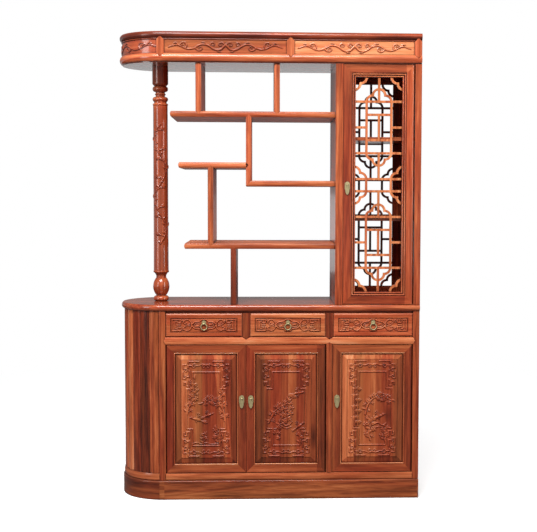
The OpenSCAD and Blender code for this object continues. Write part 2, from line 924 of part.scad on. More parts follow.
// Raised panel: a tongue all round, a slope, and a stepped field just behind the frame's face
module door_panel(i) {
    d = doors[i];
    g = panel_play;
    edge = door_frame_w - groove_d + g;
    slope_in = groove_d - g + 1;
    y_tongue = -y_face + (door_t - tongue_t) / 2;
    x0 = d[0] + edge;
    x1 = d[0] + d[1] - edge;
    z0 = z_door + edge;
    z1 = z_door + door_h - edge;
    y_field = -y_face + field_in;
    table_in = slope_in + panel_slope + field_ledge;
    color(wood_light) {
        block(x0, x1, y_tongue + g, y_tongue + tongue_t - g, z0, z1);
        bevel_block(x0 + slope_in, x1 - slope_in, z0 + slope_in, z1 - slope_in,
            y_field + field_step, y_tongue + tongue_t - g, panel_slope, panel_drop);
        block(x0 + table_in, x1 - table_in, y_field, y_tongue, z0 + table_in, z1 - table_in);
    }
}

// Back plate with two ears and the pin that a leaf hangs on; the pin is in front of the origin
module leaf_pull() {
    ear_x = leaf_eye_w / 2 + slide_gap;
    color(brass) {
        rotate([90, 0, 0]) linear_extrude(plate_t) translate([0, plate_over_pin]) {
            translate([-plate_w / 2, plate_w / 2 - plate_l]) square([plate_w, plate_l - plate_w]);
            translate([0, -plate_w / 2]) circle(plate_w / 2);
            translate([0, plate_w / 2 - plate_l]) circle(plate_w / 2);
        }
        for (s = [0, 1])
            mirror([s, 0, 0]) translate([ear_x, 0, 0]) {
                translate([0, -pin_out, -ear_w]) cube([ear_w, pin_out, 2 * ear_w]);
                translate([0, -pin_out, 0]) rotate([0, 90, 0]) cylinder(r = ear_w, h = ear_w);
            }
        translate([-ear_x - pin_bite, -pin_out, 0]) rotate([0, 90, 0])
            cylinder(r = leaf_pin_r, h = 2 * (ear_x + pin_bite), $fn = 32);
    }
}

// Leaf: an eye on the pin, a neck, and a blade that widens and ends in a point
module hanging_leaf() {
    half = leaf_w / 2;
    color(brass) translate([0, -pin_out, 0]) difference() {
        union() {
            translate([-leaf_eye_w / 2, 0, 0]) rotate([0, 90, 0])
                cylinder(r = leaf_eye_r, h = leaf_eye_w);
            translate([0, leaf_t / 2, 0]) rotate([90, 0, 0]) linear_extrude(leaf_t) {
                translate([-leaf_eye_w / 2, -leaf_neck]) square([leaf_eye_w, leaf_neck]);
                intersection() {
                    translate([half - leaf_bow_r, -leaf_wide_z]) circle(leaf_bow_r);
                    translate([leaf_bow_r - half, -leaf_wide_z]) circle(leaf_bow_r);
                    translate([-half, -leaf_l]) square([leaf_w, leaf_l - leaf_tip_cut]);
                }
            }
        }
        translate([-leaf_w, 0, 0]) rotate([0, 90, 0])
            cylinder(r = leaf_pin_r + pin_play, h = 2 * leaf_w, $fn = 32);
    }
}

module at_pull(i) {
    d = doors[i];
    x = d[2] ? d[0] + door_frame_w / 2 : d[0] + d[1] - door_frame_w / 2;
    translate([x, -y_face, z_door + pull_z - plate_over_pin]) children();
}

module at_case_pull() {
    translate([case_door_x + case_flat_w / 2, -y_case_door,
        z_case_door + case_pull_z - plate_over_pin]) children();
}

// Tall case door and lattice

// Section of the tall door's frame: flat face, two stepped beads, and a groove for the lattice
module case_profile() {
    r = case_bead_r;
    difference() {
        union() {
            square([door_t, case_flat_w]);
            translate([r, case_flat_w]) square([door_t - r, case_bead_w / 2]);
            translate([r + case_bead_lift[0], case_flat_w + case_bead_w / 2 - r])
                circle(r, $fn = 32);
            translate([2 * r, case_flat_w]) square([door_t - 2 * r, case_bead_w]);
            translate([2 * r + case_bead_lift[1], case_frame_w - r]) circle(r, $fn = 32);
        }
        translate([lattice_in, case_frame_w - lattice_tab - 5 * lattice_play])
            square([bar_t + 2 * lattice_play, lattice_tab + 1]);
    }
}

// Two quarter rings, one over the other, that step from a medallion bar up to the middle line
module cloud_half() {
    a = medallion_x / 2;
    for (i = [0, 1])
        translate([a * (1 - i), a * i]) intersection() {
            difference() {
                circle(a + bar_w / 2);
                circle(a - bar_w / 2);
            }
            square(a + bar_w / 2);
        }
    translate([a - bar_w / 2, a - bar_w / 2]) square(bar_w);
}

module level_bar(x0, x1, z) {
    translate([x0, z - bar_w / 2]) square([x1 - x0, bar_w]);
}

module upright_bar(x, z0, z1) {
    translate([x - bar_w / 2, z0]) square([bar_w, z1 - z0]);
}

// Upper right quarter of the pattern, for an opening of half width hw and half height hh
module lattice_quarter(hw, hh) {
    m = medallion_x;
    z_mid = middle_h / 2;
    z_low_bar = medallion_z - medallion_h / 2;
    z_high_bar = medallion_z + medallion_h / 2;
    z_square = [medallion_z - inner_square_h / 2, medallion_z + inner_square_h / 2];
    far = hw + lattice_tab;
    for (z = [z_mid, z_low_bar, z_high_bar]) level_bar(0, far, z);
    for (z = z_square) level_bar(0, m, z);
    level_bar(m, far, medallion_z);
    upright_bar(0, z_square[0], z_square[1]);
    upright_bar(0, z_mid, z_low_bar);
    upright_bar(0, z_high_bar, hh + lattice_tab);
    upright_bar(m, z_low_bar, z_high_bar);
    upright_bar(m, 0, z_mid);
    upright_bar(m, hh, hh + lattice_tab);
    translate([0, z_high_bar]) cloud_half();
    translate([0, z_low_bar]) mirror([0, 1]) cloud_half();
    translate([2 * m, z_mid]) mirror([1, 0]) cloud_half();
    translate([2 * m, hh]) mirror([0, 1]) mirror([1, 0]) cloud_half();
}

module lattice(hw, hh) {
    far_x = hw + lattice_tab;
    far_z = hh + lattice_tab;
    y0 = -y_case_door + lattice_in + lattice_play;
    along_y(y0, y0 + bar_t) translate([lattice_x, lattice_z]) intersection() {
        for (sx = [0, 1]) mirror([sx, 0])
            for (sz = [0, 1]) mirror([0, sz])
                lattice_quarter(hw, hh);
        translate([-far_x, -far_z]) square([2 * far_x, 2 * far_z]);
    }
}

module case_door_frame() {
    color(wood) translate([case_door_x, -y_case_door, z_case_door])
        pivot_door(case_door_w, case_door_h, case_frame_w, true) case_profile();
}

module case_lattice() {
    color(wood_light) lattice(case_door_w / 2 - case_frame_w, case_door_h / 2 - case_frame_w);
}

module case_sockets() {
    translate([case_door_x + case_door_w - pivot_in, -y_case_door + pivot_in, 0])
        pivot_sockets(z_counter, z_cornice);
}

// Tall case

case_posts = [[x_case, case_stile_w], [x_right - case_stile_right_w, case_stile_right_w]];

module case_tenons() {
    g = case_tenon_in;
    both_sides()
        for (p = case_posts)
            block(p[0] + g, p[0] + p[1] - g, -y_case + g, -y_case_in - g,
                z_counter - tenon_len, z_cornice + tenon_len);
}

module case_stiles() {
    color(wood) {
        both_sides()
            for (p = case_posts)
                along_z(z_counter, z_cornice) translate([p[0], -y_case])
                    crowned(p[1], case_stile_d, case_post_crown);
        case_tenons();
    }
}

module case_walls() {
    color(wood) difference() {
        for (x = [x_case, x_right - case_wall_t])
            block(x, x + case_wall_t, -y_case_in, y_case_in, z_counter, z_cornice);
        shelf_tenons();
    }
}

// Fixed back: the same frame and lattice as the door, seen from behind
module case_back() {
    w = case_door_w + 2 * door_gap;
    h = case_door_h + 2 * pivot_gap;
    color(wood) mirror([0, 1, 0]) translate([case_door_x - door_gap, -y_case_door, z_counter])
        mitred_frame(w, h, case_frame_w, door_t) case_profile();
    color(wood_light) mirror([0, 1, 0])
        lattice(w / 2 - case_frame_w, h / 2 - case_frame_w);
}

module case_shelves() {
    x0 = x_case + case_wall_t;
    x1 = x_right - case_wall_t;
    color(wood_dark)
        for (z = [case_shelf_low_z, case_shelf_high_z])
            block(x0, x1, -y_case_in, y_case_in, z_counter + z - case_shelf_t, z_counter + z);
}

// Turned post

// Bead of a turned profile about height z
module bead(z, size) {
    h = size[1];
    r = shaft_r + size[2];
    translate([0, z - h / 2]) square([r - h / 2, h]);
    translate([r - h / 2, z]) circle(h / 2, $fn = 48);
}

// Egg over the foot bead
module post_egg(neck_r) {
    h = egg[1];
    r = shaft_r + egg[2];
    bow = (h * h / 4 + pow(r - neck_r, 2)) / (2 * (r - neck_r));
    intersection() {
        translate([r - bow, z_counter + egg[0]]) circle(bow, $fn = 128);
        translate([0, z_counter + egg[0] - h / 2]) square([r, h]);
    }
}

module post_profile() {
    z0 = z_counter;
    z1 = z_cornice;
    neck_r = shaft_r - neck_in;
    cap_r = shaft_top_r + cap_over;
    intersection() {
        union() {
            bead(z0 + foot_bead[0], foot_bead);
            translate([0, z0 + foot_bead[0]]) square([neck_r, egg[0] - foot_bead[0]]);
            post_egg(neck_r);
            polygon([[0, z0 + neck_zs[0]], [neck_r, z0 + neck_zs[1]], [neck_r, z0 + neck_zs[2]],
                [shaft_r - flare_in, z0 + neck_zs[3]], [0, z0 + neck_zs[3]]]);
            bead(z0 + collar_bead[0], collar_bead);
            polygon([[0, z0 + shaft_zs[0]], [shaft_r, z0 + shaft_zs[0]],
                [shaft_top_r, z1 - shaft_zs[1]], [0, z1 - shaft_zs[1]]]);
            bead(z1 - ring_bead[0], ring_bead);
            translate([0, z1 - ring_bead[0]])
                square([shaft_top_r - flare_in, ring_bead[0] - low_bead[0]]);
            bead(z1 - low_bead[0], low_bead);
            translate([0, z1 - low_bead[0]])
                square([shaft_r - high_neck_in, low_bead[0] - high_bead[0]]);
            bead(z1 - neck_bead[0], neck_bead);
            bead(z1 - high_bead[0], high_bead);
            polygon([[0, z1 - cap_h - cap_flare_h], [cap_r - cap_flare_in, z1 - cap_h - cap_flare_h],
                [cap_r, z1 - cap_h], [0, z1 - cap_h]]);
            translate([0, z1 - cap_h]) square([cap_r, cap_h]);
        }
        translate([0, z0]) square([2 * shaft_r, z1 - z0]);
    }
}

module turned_spigots(play) {
    translate([x_turned, 0, z_counter - spigot_len]) cylinder(r = spigot_r + play, h = spigot_len + 1);
    translate([x_turned, 0, z_cornice - 1]) cylinder(r = spigot_r + play, h = spigot_len + 1);
}

module turned_post() {
    color(wood) {
        translate([x_turned, 0, 0]) rotate_extrude() post_profile();
        turned_spigots(0);
    }
}

// Display shelves and dividers

// Shelf with rounded edges; its left end is rounded too where round_end is true
module shelf_board(x0, x1, z_top, round_end) {
    t = shelf_t;
    intersection() {
        along_x(x0, x1) translate([-y_shelf, z_top]) rotate(-90)
            twice_crowned(t, 2 * y_shelf, shelf_crown);
        along_y(-y_shelf, y_shelf) translate([x0, z_top - t]) union() {
            translate([round_end ? shelf_crown : 0, 0]) square([x1 - x0, t]);
            if (round_end) translate([0, t]) rotate(-90) crowned(t, 2 * shelf_crown, shelf_crown);
        }
    }
}

// Tenon of an upright divider, in the board that ends at z
module stub_z(x, z0, z1) {
    block(x - tenon_t / 2, x + tenon_t / 2, -y_shelf + stub_in, y_shelf - stub_in, z0, z1);
}

// Dividers: middle line, bottom, top, point at the bottom and point at the top
dividers = [
    [x_div_a, z_top, z_cornice, divider_t / 2, 0],
    [x_div_b, z_top, z_cornice, divider_t / 2, 0],
    [x_div_d, z_low, z_left - shelf_t, divider_t / 2, divider_t / 2],
    [x_div_e, z_counter, z_low - shelf_t, 0, divider_t / 2]
];

module divider_tenons() {
    for (d = dividers) {
        stub_z(d[0], d[1] - tenon_len, d[1] + 1);
        stub_z(d[0], d[2] - 1, d[2] + tenon_len);
    }
    stub_z(x_div_c, z_top - shelf_t - 1, z_top - shelf_t + tenon_len);
}

// Points of the dividers, grown outwards so that they cut right through an edge
module divider_points() {
    along_y_both() {
        for (d = dividers)
            translate([d[0] - divider_t / 2, 0])
                pointed_z(0, divider_t, d[1], d[2], d[3], d[4]);
        translate([x_div_c - divider_t / 2, 0])
            pointed_z(0, divider_t, z_middle, z_top - shelf_t, 0, divider_t / 2);
    }
}

// The outer layers of the shelves, at the front and at the back
module along_y_both() {
    both_sides() along_y(-y_shelf - 1, -y_shelf + shoulder_d) children();
}

module divider_body(x, z0, z1, tip0, tip1) {
    x0 = x - divider_t / 2;
    intersection() {
        along_z(z0 - tip0, z1 + tip1) translate([x0, -y_shelf])
            twice_crowned(divider_t, 2 * y_shelf, shelf_crown);
        union() {
            along_y_both() pointed_z(x0, divider_t, z0, z1, tip0, tip1);
            block(x0, x0 + divider_t, -y_shelf + shoulder_d, y_shelf - shoulder_d, z0, z1);
        }
    }
}

// Mitre between the middle shelf and the foot of its divider
module corner_mitre() {
    x0 = x_div_c - divider_t / 2;
    along_y(-y_shelf - 1, y_shelf + 1) polygon([
        [x0 - 1, z_middle - shelf_t - 1], [x0, z_middle - shelf_t],
        [x0 + divider_t, z_middle], [x0 + divider_t + 1, z_middle - shelf_t - 1]
    ]);
}

// Tenons at the ends of the shelves, in the case wall or in the divider beside the left shelf
module shelf_tenons() {
    for (z = [z_top, z_middle, z_low]) stub_x(x_case - 1, x_case + tenon_len, z);
}

module stub_x(x0, x1, z) {
    block(x0, x1, -y_shelf + stub_in, y_shelf - stub_in, z - (shelf_t + tenon_t) / 2,
        z - (shelf_t - tenon_t) / 2);
}

module left_shelf_joint() {
    x1 = x_div_c - divider_t / 2;
    along_y_both() pointed_x(x1 - shelf_t, x1, 0, shelf_t / 2, z_left - shelf_t, shelf_t);
    stub_x(x1 - 1, x1 + tenon_len, z_left);
}

module shelf_dividers() {
    color(wood_light) {
        for (d = dividers) divider_body(d[0], d[1], d[2], d[3], d[4]);
        difference() {
            divider_body(x_div_c, z_middle - shelf_t, z_top - shelf_t, 0, divider_t / 2);
            corner_mitre();
            left_shelf_joint();
        }
        divider_tenons();
    }
}

// Any shelf, less the joints of the dividers that meet it
module plain_shelf(x0, x1, z, round_end) {
    difference() {
        shelf_board(x0, x1, z, round_end);
        divider_points();
        divider_tenons();
    }
    stub_x(x_case - 1, x_case + tenon_len, z);
}

module shelf_top() {
    color(wood) plain_shelf(x_case - shelf_top_len, x_case, z_top, true);
}

module shelf_low() {
    color(wood) plain_shelf(x_case - shelf_low_len, x_case, z_low, true);
}

module shelf_middle() {
    color(wood) {
        intersection() {
            shelf_board(x_div_c - divider_t / 2, x_case, z_middle, false);
            union() {
                corner_mitre();
                block(x_div_c + divider_t / 2, x_case, -y_shelf, y_shelf, z_middle - shelf_t,
                    z_middle);
            }
        }
        stub_x(x_case - 1, x_case + tenon_len, z_middle);
    }
}

module shelf_left() {
    x1 = x_div_c - divider_t / 2;
    color(wood) difference() {
        union() {
            intersection() {
                shelf_board(x1 - shelf_left_len, x1 + shelf_t / 2, z_left, true);
                union() {
                    block(x1 - shelf_left_len, x1, -y_shelf, y_shelf, z_left - shelf_t, z_left);
                    left_shelf_joint();
                }
            }
            stub_x(x1 - 1, x1 + tenon_len, z_left);
        }
        divider_points();
        divider_tenons();
    }
}

// Cornice

module cornice_floor() {
    color(wood) difference() {
        along_z(z_cornice, z_cornice + cornice_floor_t) plan(corn_floor_r - joint_gap, x_right);
        turned_spigots(pin_play);
        case_tenons();
        divider_tenons();
        case_sockets();
    }
}

module cornice_lid() {
    color(wood_dark) along_z(cab_h - lid_t, cab_h) plan(corn_lid_r - joint_gap, x_right);
}

// A moulding in three pieces: the bent end and the two straight runs
module cornice_run() {
    half_ring() children();
    both_sides() along_x(arc_x + joint_gap, x_right) children();
}

// Notches for the points of the cornice stiles
module stile_points() {
    for (s = corn_stiles)
        both_sides() along_y(-out_r - 1, -corn_shoulder_y)
            pointed_z(s[0], s[1] - s[0], z_corn_panel, z_corn_crown, stile_tip, stile_tip);
}

module panel_groove(z) {
    translate([corn_panel_r - cornice_panel_t, z]) square([cornice_panel_t, corn_groove]);
}

module cornice_foot() {
    color(wood) difference() {
        cornice_run() difference() {
            rail_profile(out_r, moulding_d, z_corn_foot, cornice_foot_h, nose_crown);
            translate([0, z_cornice]) square([corn_floor_r, cornice_floor_t]);
            panel_groove(z_corn_panel - corn_groove);
        }
        stile_points();
    }
}

module cornice_crown() {
    nose_h = cornice_crown_h - cornice_bead_h;
    bead_r = cornice_bead_h / 2;
    color(wood) difference() {
        cornice_run() difference() {
            union() {
                rail_profile(out_r, moulding_d, cab_h - nose_h, nose_h, nose_crown);
                translate([corn_inner_r, z_corn_crown])
                    square([moulding_d - nose_crown - bead_r, cornice_bead_h]);
                translate([out_r - nose_crown - bead_r, z_corn_crown + bead_r])
                    circle(bead_r, $fn = 32);
            }
            panel_groove(z_corn_crown);
            translate([0, cab_h - lid_t]) square([corn_lid_r, lid_t + 1]);
        }
        stile_points();
    }
}

module cornice_stiles() {
    color(wood) both_sides()
        for (s = corn_stiles)
            upright_z(s[0], s[1] - s[0], z_corn_panel, z_corn_crown, stile_tip, stile_tip,
                out_r - corn_stile_in, corn_shoulder_y, corn_inner_r);
}

// Straight panels between the stiles, the bent end panel, and the board that closes the right end
module cornice_panels() {
    r0 = corn_panel_r - cornice_panel_t;
    z0 = z_corn_panel - corn_groove;
    tall = z_corn_crown - z_corn_panel + 2 * corn_groove;
    color(wood_light) {
        end_sweep(corn_stiles[0][0]) translate([r0, z0]) square([cornice_panel_t, tall]);
        both_sides()
            for (i = [0, 1])
                block(corn_stiles[i][1], corn_stiles[i + 1][0], -corn_panel_r, -r0, z0, z0 + tall);
        block(x_right - cornice_panel_t, x_right, -corn_inner_r, corn_inner_r,
            z_cornice + cornice_floor_t, cab_h - lid_t);
    }
}

plinth_end();
plinth_boards();
base_floor();
foot_ring();
end_staves();
front_posts();
back_posts();
front_rails();
carcass_rails();
drawer_muntins();
back_panels();
side_panel();
partitions();
inner_shelves();
drawer_runners();
counter_top();
drawer_front(0);  // drawer_1_front
drawer_box(0);  // drawer_1_box
drawer_boss(0);  // drawer_1_boss
drawer_ring(0);  // drawer_1_ring
drawer_front(1);  // drawer_2_front
drawer_box(1);  // drawer_2_box
drawer_boss(1);  // drawer_2_boss
drawer_ring(1);  // drawer_2_ring
drawer_front(2);  // drawer_3_front
drawer_box(2);  // drawer_3_box
drawer_boss(2);  // drawer_3_boss
drawer_ring(2);  // drawer_3_ring
door_frame(0);  // door_1_frame
door_panel(0);  // door_1_panel
at_pull(0) leaf_pull();  // door_1_pull
at_pull(0) hanging_leaf();  // door_1_leaf
door_frame(1);  // door_2_frame
door_panel(1);  // door_2_panel
at_pull(1) leaf_pull();  // door_2_pull
at_pull(1) hanging_leaf();  // door_2_leaf
door_frame(2);  // door_3_frame
door_panel(2);  // door_3_panel
at_pull(2) leaf_pull();  // door_3_pull
at_pull(2) hanging_leaf();  // door_3_leaf
case_door_frame();
case_lattice();
at_case_pull() leaf_pull();  // case_pull
at_case_pull() hanging_leaf();  // case_leaf
turned_post();
shelf_top();
shelf_left();
shelf_middle();
shelf_low();
shelf_dividers();
case_stiles();
case_walls();
case_back();
case_shelves();
cornice_floor();
cornice_lid();
cornice_foot();
cornice_crown();
cornice_stiles();
cornice_panels();
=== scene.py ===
import logging
import math
from dataclasses import dataclass, field
from enum import Enum
from typing import Any, Callable, Iterable

import bpy
import numpy as np
from mathutils import Matrix, Vector


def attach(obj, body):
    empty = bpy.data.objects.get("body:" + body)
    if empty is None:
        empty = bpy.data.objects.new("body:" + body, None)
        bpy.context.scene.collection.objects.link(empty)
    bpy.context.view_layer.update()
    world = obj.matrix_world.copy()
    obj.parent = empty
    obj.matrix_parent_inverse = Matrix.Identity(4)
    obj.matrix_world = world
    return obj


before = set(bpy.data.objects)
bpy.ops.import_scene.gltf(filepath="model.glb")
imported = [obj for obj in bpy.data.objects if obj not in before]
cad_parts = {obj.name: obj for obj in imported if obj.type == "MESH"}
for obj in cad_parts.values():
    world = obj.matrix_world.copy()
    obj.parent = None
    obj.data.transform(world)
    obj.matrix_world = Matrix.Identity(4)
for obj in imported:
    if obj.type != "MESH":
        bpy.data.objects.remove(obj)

LOG = logging.getLogger("entrance_cabinet")
MM = 0.001
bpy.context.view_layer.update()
HOLLOW = "hollow"
LINE_STEPS = 7
CURL_END = 0.2

Colour = tuple[float, float, float, float]
Point = tuple[float, float]
Triple = tuple[float, float, float]
Mapping = Callable[[np.ndarray, np.ndarray, np.ndarray], np.ndarray]


def colour(*channels: int) -> Colour:
    """A screen colour from 0 to 255 as Blender's linear colour, with an alpha of one."""
    shares = [channel / 255 for channel in channels]
    return (*(s / 12.92 if s <= 0.04045 else ((s + 0.055) / 1.055) ** 2.4 for s in shares), 1.0)


class Sock:
    """A shader socket that maths is written on: numbers use Math, vectors Vector Math, colours Mix."""

    def __init__(self, graph: "Graph", socket: bpy.types.NodeSocket) -> None:
        """Wraps one output socket of a graph."""
        self.graph = graph
        self.socket = socket

    def _join(self, operation: str, first: Any, second: Any) -> "Sock":
        """Adds the node that joins two values in this socket's own kind.

        Args:
            operation: Name of the operation, as Math nodes call it.
            first: Left side, a socket or a plain value.
            second: Right side, a socket or a plain value.

        Returns:
            The result's socket.
        """
        if self.socket.type == "VECTOR":
            sides = [v if isinstance(v, (Sock, tuple)) else (v, v, v) for v in (first, second)]
            return self.graph.node("VectorMath", {"operation": operation}, {0: sides[0], 1: sides[1]})
        if self.socket.type == "RGBA":
            sides = [v if isinstance(v, (Sock, tuple)) else (v, v, v, 1.0) for v in (first, second)]
            return self.graph.mix(sides[0], sides[1], 1.0, operation)
        return self.graph.node("Math", {"operation": operation}, {0: first, 1: second})

    def __add__(self, other: Any) -> "Sock":
        """This plus other."""
        return self._join("ADD", self, other)

    def __radd__(self, other: Any) -> "Sock":
        """Other plus this."""
        return self._join("ADD", other, self)

    def __sub__(self, other: Any) -> "Sock":
        """This minus other."""
        return self._join("SUBTRACT", self, other)

    def __rsub__(self, other: Any) -> "Sock":
        """Other minus this."""
        return self._join("SUBTRACT", other, self)

    def __mul__(self, other: Any) -> "Sock":
        """This times other."""
        return self._join("MULTIPLY", self, other)

    def __rmul__(self, other: Any) -> "Sock":
        """Other times this."""
        return self._join("MULTIPLY", other, self)

    def __truediv__(self, other: Any) -> "Sock":
        """This divided by other."""
        return self._join("DIVIDE", self, other)

    def __gt__(self, other: Any) -> "Sock":
        """One where this is greater, else zero."""
        return self._join("GREATER_THAN", self, other)

    def __lt__(self, other: Any) -> "Sock":
        """One where this is smaller, else zero."""
        return self._join("LESS_THAN", self, other)

    def __pow__(self, other: Any) -> "Sock":
        """This to the power of other."""
        return self._join("POWER", self, other)

    def __abs__(self) -> "Sock":
        """The size of this, without its sign."""
        return self._join("ABSOLUTE", self, 0.0)

    def floor(self) -> "Sock":
        """The whole number below this."""
        return self._join("FLOOR", self, 0.0)

    def sine(self) -> "Sock":
        """The sine of this."""
        return self._join("SINE", self, 0.0)

    def clamped(self) -> "Sock":
        """This, held from zero to one."""
        return self.graph.node("Clamp", {}, {0: self})

    def pick(self, yes: Any, no: Any) -> "Sock":
        """Yes where this is one, and no where it is zero."""
        return self * yes + (1.0 - self) * no


class Graph:
    """A node tree, with one method that adds any node."""

    def __init__(self, tree: bpy.types.NodeTree) -> None:
        """Empties the tree and keeps it."""
        tree.nodes.clear()
        self.tree = tree

    @staticmethod
    def _find(sockets: Any, key: int | str) -> bpy.types.NodeSocket:
        """A socket by its number, identifier or name."""
        named = None if isinstance(key, int) else next((s for s in sockets if s.identifier == key), None)
        return named or sockets[key]

    @staticmethod
    def _stops(ramp: bpy.types.ColorRamp, stops: Iterable[tuple[float, Colour]]) -> None:
        """Sets a ramp's stops.

        Args:
            ramp: The ramp.
            stops: Place and colour of each stop.
        """
        for number, (place, tint) in enumerate(stops):
            stop = ramp.elements[number] if number < 2 else ramp.elements.new(place)
            stop.position = place
            stop.color = tint

    def node(self, kind: str, settings: dict[str, Any] | None = None,
             sockets: dict[int | str, Any] | None = None, output: int | str = 0) -> Sock:
        """Adds a node, sets it up and feeds it.

        Args:
            kind: The node's type, without the words Shader and Node that each starts with.
            settings: Its settings, set first; stops and interpolation are a ramp's.
            sockets: Values or links of its inputs.
            output: Which output is wanted.

        Returns:
            The wanted output.
        """
        made = self.tree.nodes.new("ShaderNode" + kind)
        for name, value in (settings or {}).items():
            if name == "stops":
                self._stops(made.color_ramp, value)
            else:
                setattr(made.color_ramp if name == "interpolation" else made, name, value)
        for key, value in (sockets or {}).items():
            target = self._find(made.inputs, key)
            if isinstance(value, Sock):
                self.tree.links.new(value.socket, target)
            else:
                target.default_value = value
        return Sock(self, self._find(made.outputs, output) if len(made.outputs) else None)

    def mix(self, first: Any, second: Any, factor: Any, blend: str = "MIX") -> Sock:
        """Mixes two colours.

        Args:
            first: Colour at a factor of zero.
            second: Colour at a factor of one.
            factor: Share of the second colour.
            blend: How they are blended.

        Returns:
            The mixed colour.
        """
        return self.node("Mix", {"data_type": "RGBA", "blend_type": blend, "clamp_factor": True},
                         {"Factor_Float": factor, "A_Color": first, "B_Color": second}, "Result_Color")

    def noise(self, place: Sock, scale: float, detail: float = 3.0, roughness: float = 0.5,
              distortion: float = 0.0) -> Sock:
        """Smooth noise from zero to one at a place.

        Args:
            place: Where it is read.
            scale: How fine it is, in features per metre.
            detail: Number of finer layers.
            roughness: Weight of the finer layers.
            distortion: How much it is bent.

        Returns:
            The noise value.
        """
        return self.node("TexNoise", {"noise_dimensions": "3D"},
                         {"Vector": place, "Scale": scale, "Detail": detail, "Roughness": roughness,
                          "Distortion": distortion}, "Fac")

    def place(self, kind: str = "Object") -> Sock:
        """One kind of texture coordinate."""
        return self.node("TexCoord", {}, {}, kind)

    def part(self, vector: Sock, number: int) -> Sock:
        """The first, second or third number of a vector."""
        return self.node("SeparateXYZ", {}, {0: vector}, number)

    def angle(self, rise: Sock, run: Sock) -> Sock:
        """The angle of a direction, from minus half a turn to half a turn."""
        return self.node("Math", {"operation": "ARCTAN2"}, {0: rise, 1: run})

    def corners(self, reach: float, samples: int) -> Sock:
        """One in corners that are tighter than the reach, and zero in the open."""
        return 1.0 - self.node("AmbientOcclusion", {"samples": samples}, {"Distance": reach}, "AO")

    def arris(self, radius: float) -> Sock:
        """The normal, with arrises softened to a radius."""
        return self.node("Bevel", {"samples": 4}, {"Radius": radius})

    def light(self, kind: str, tint: Colour, strength: Any) -> Sock:
        """A background or an emission of one colour."""
        return self.node(kind, {}, {"Color": tint, "Strength": strength})

    def whole(self, shader: Sock, kind: str = "OutputMaterial") -> None:
        """Makes a shader the tree's surface."""
        self.node(kind, {}, {"Surface": shader})


def new_material(name: str) -> tuple[bpy.types.Material, Graph]:
    """Makes a material with an empty graph.

    Args:
        name: The material's name.

    Returns:
        The material and its graph.
    """
    material = bpy.data.materials.new(name)
    material.use_nodes = True
    return material, Graph(material.node_tree)


def add_object(name: str, data: bpy.types.ID) -> bpy.types.Object:
    """Puts a mesh, a lamp or a camera into the scene.

    Args:
        name: The object's name.
        data: What it shows.

    Returns:
        The object.
    """
    made = bpy.data.objects.new(name, data)
    bpy.context.scene.collection.objects.link(made)
    return made


class Layout(Enum):
    """How the pieces of wood in a node are laid out, which gives the grain its direction."""

    UPRIGHT = "grain along the height"
    LENGTHWISE = "grain along the front"
    FRAME = "mitred frame of stiles and rails"
    BENT = "along the front and round the end"
    STAVES = "upright staves round the end"
    BOARDS = "upright boards glued edge to edge"


def palette(*tints: tuple[int, int, int]) -> tuple[tuple[float, Colour], ...]:
    """Stops of a ramp, evenly spaced from dark to light."""
    return tuple((k / (len(tints) - 1), colour(*tint)) for k, tint in enumerate(tints))


WHITE = (1.0, 1.0, 1.0, 1.0)
RED_PALETTE = palette((38, 10, 7), (82, 27, 16), (128, 47, 27), (174, 74, 42), (216, 114, 72), (246, 164, 120))
BROWN_PALETTE = palette((40, 19, 11), (82, 38, 20), (122, 61, 33), (166, 90, 50), (212, 130, 80), (244, 178, 126))


@dataclass(frozen=True)
class Band:
    """A board, a stained patch or a patch of painted light and shade, of another tone in a panel, in metres.

    Attributes:
        place: Its middle along the front, at the height of its own middle.
        half: Half its width.
        tone: Tone that it adds.
        middle_z: Its middle height.
        half_z: Half its height.
        slant: How far it leans sideways for each metre up.
        brown: How much browner its wood is.
        gloss: Lacquer added on it.
        blur: Width of its soft edge.
    """

    place: float
    half: float
    tone: float
    middle_z: float = 0.4
    half_z: float = 0.4
    slant: float = 0.0
    brown: float = 0.0
    gloss: float = 0.0
    blur: float = 0.002

    END_BLURS = 6

    def share(self, x: Sock, z: Sock, wander: Sock) -> Sock:
        """Where the band is.

        Args:
            x: The place along the front.
            z: The height.
            wander: Slow noise that makes its edges run with the grain.

        Returns:
            One inside the band and zero outside.
        """
        up = z - self.middle_z
        across = abs(x - up * self.slant - self.place + (wander - 0.5) * (self.blur * 4))
        inside = (0.5 + (self.half - across) / self.blur).clamped()
        return inside * (0.5 + (self.half_z - abs(up)) / (self.blur * self.END_BLURS)).clamped()


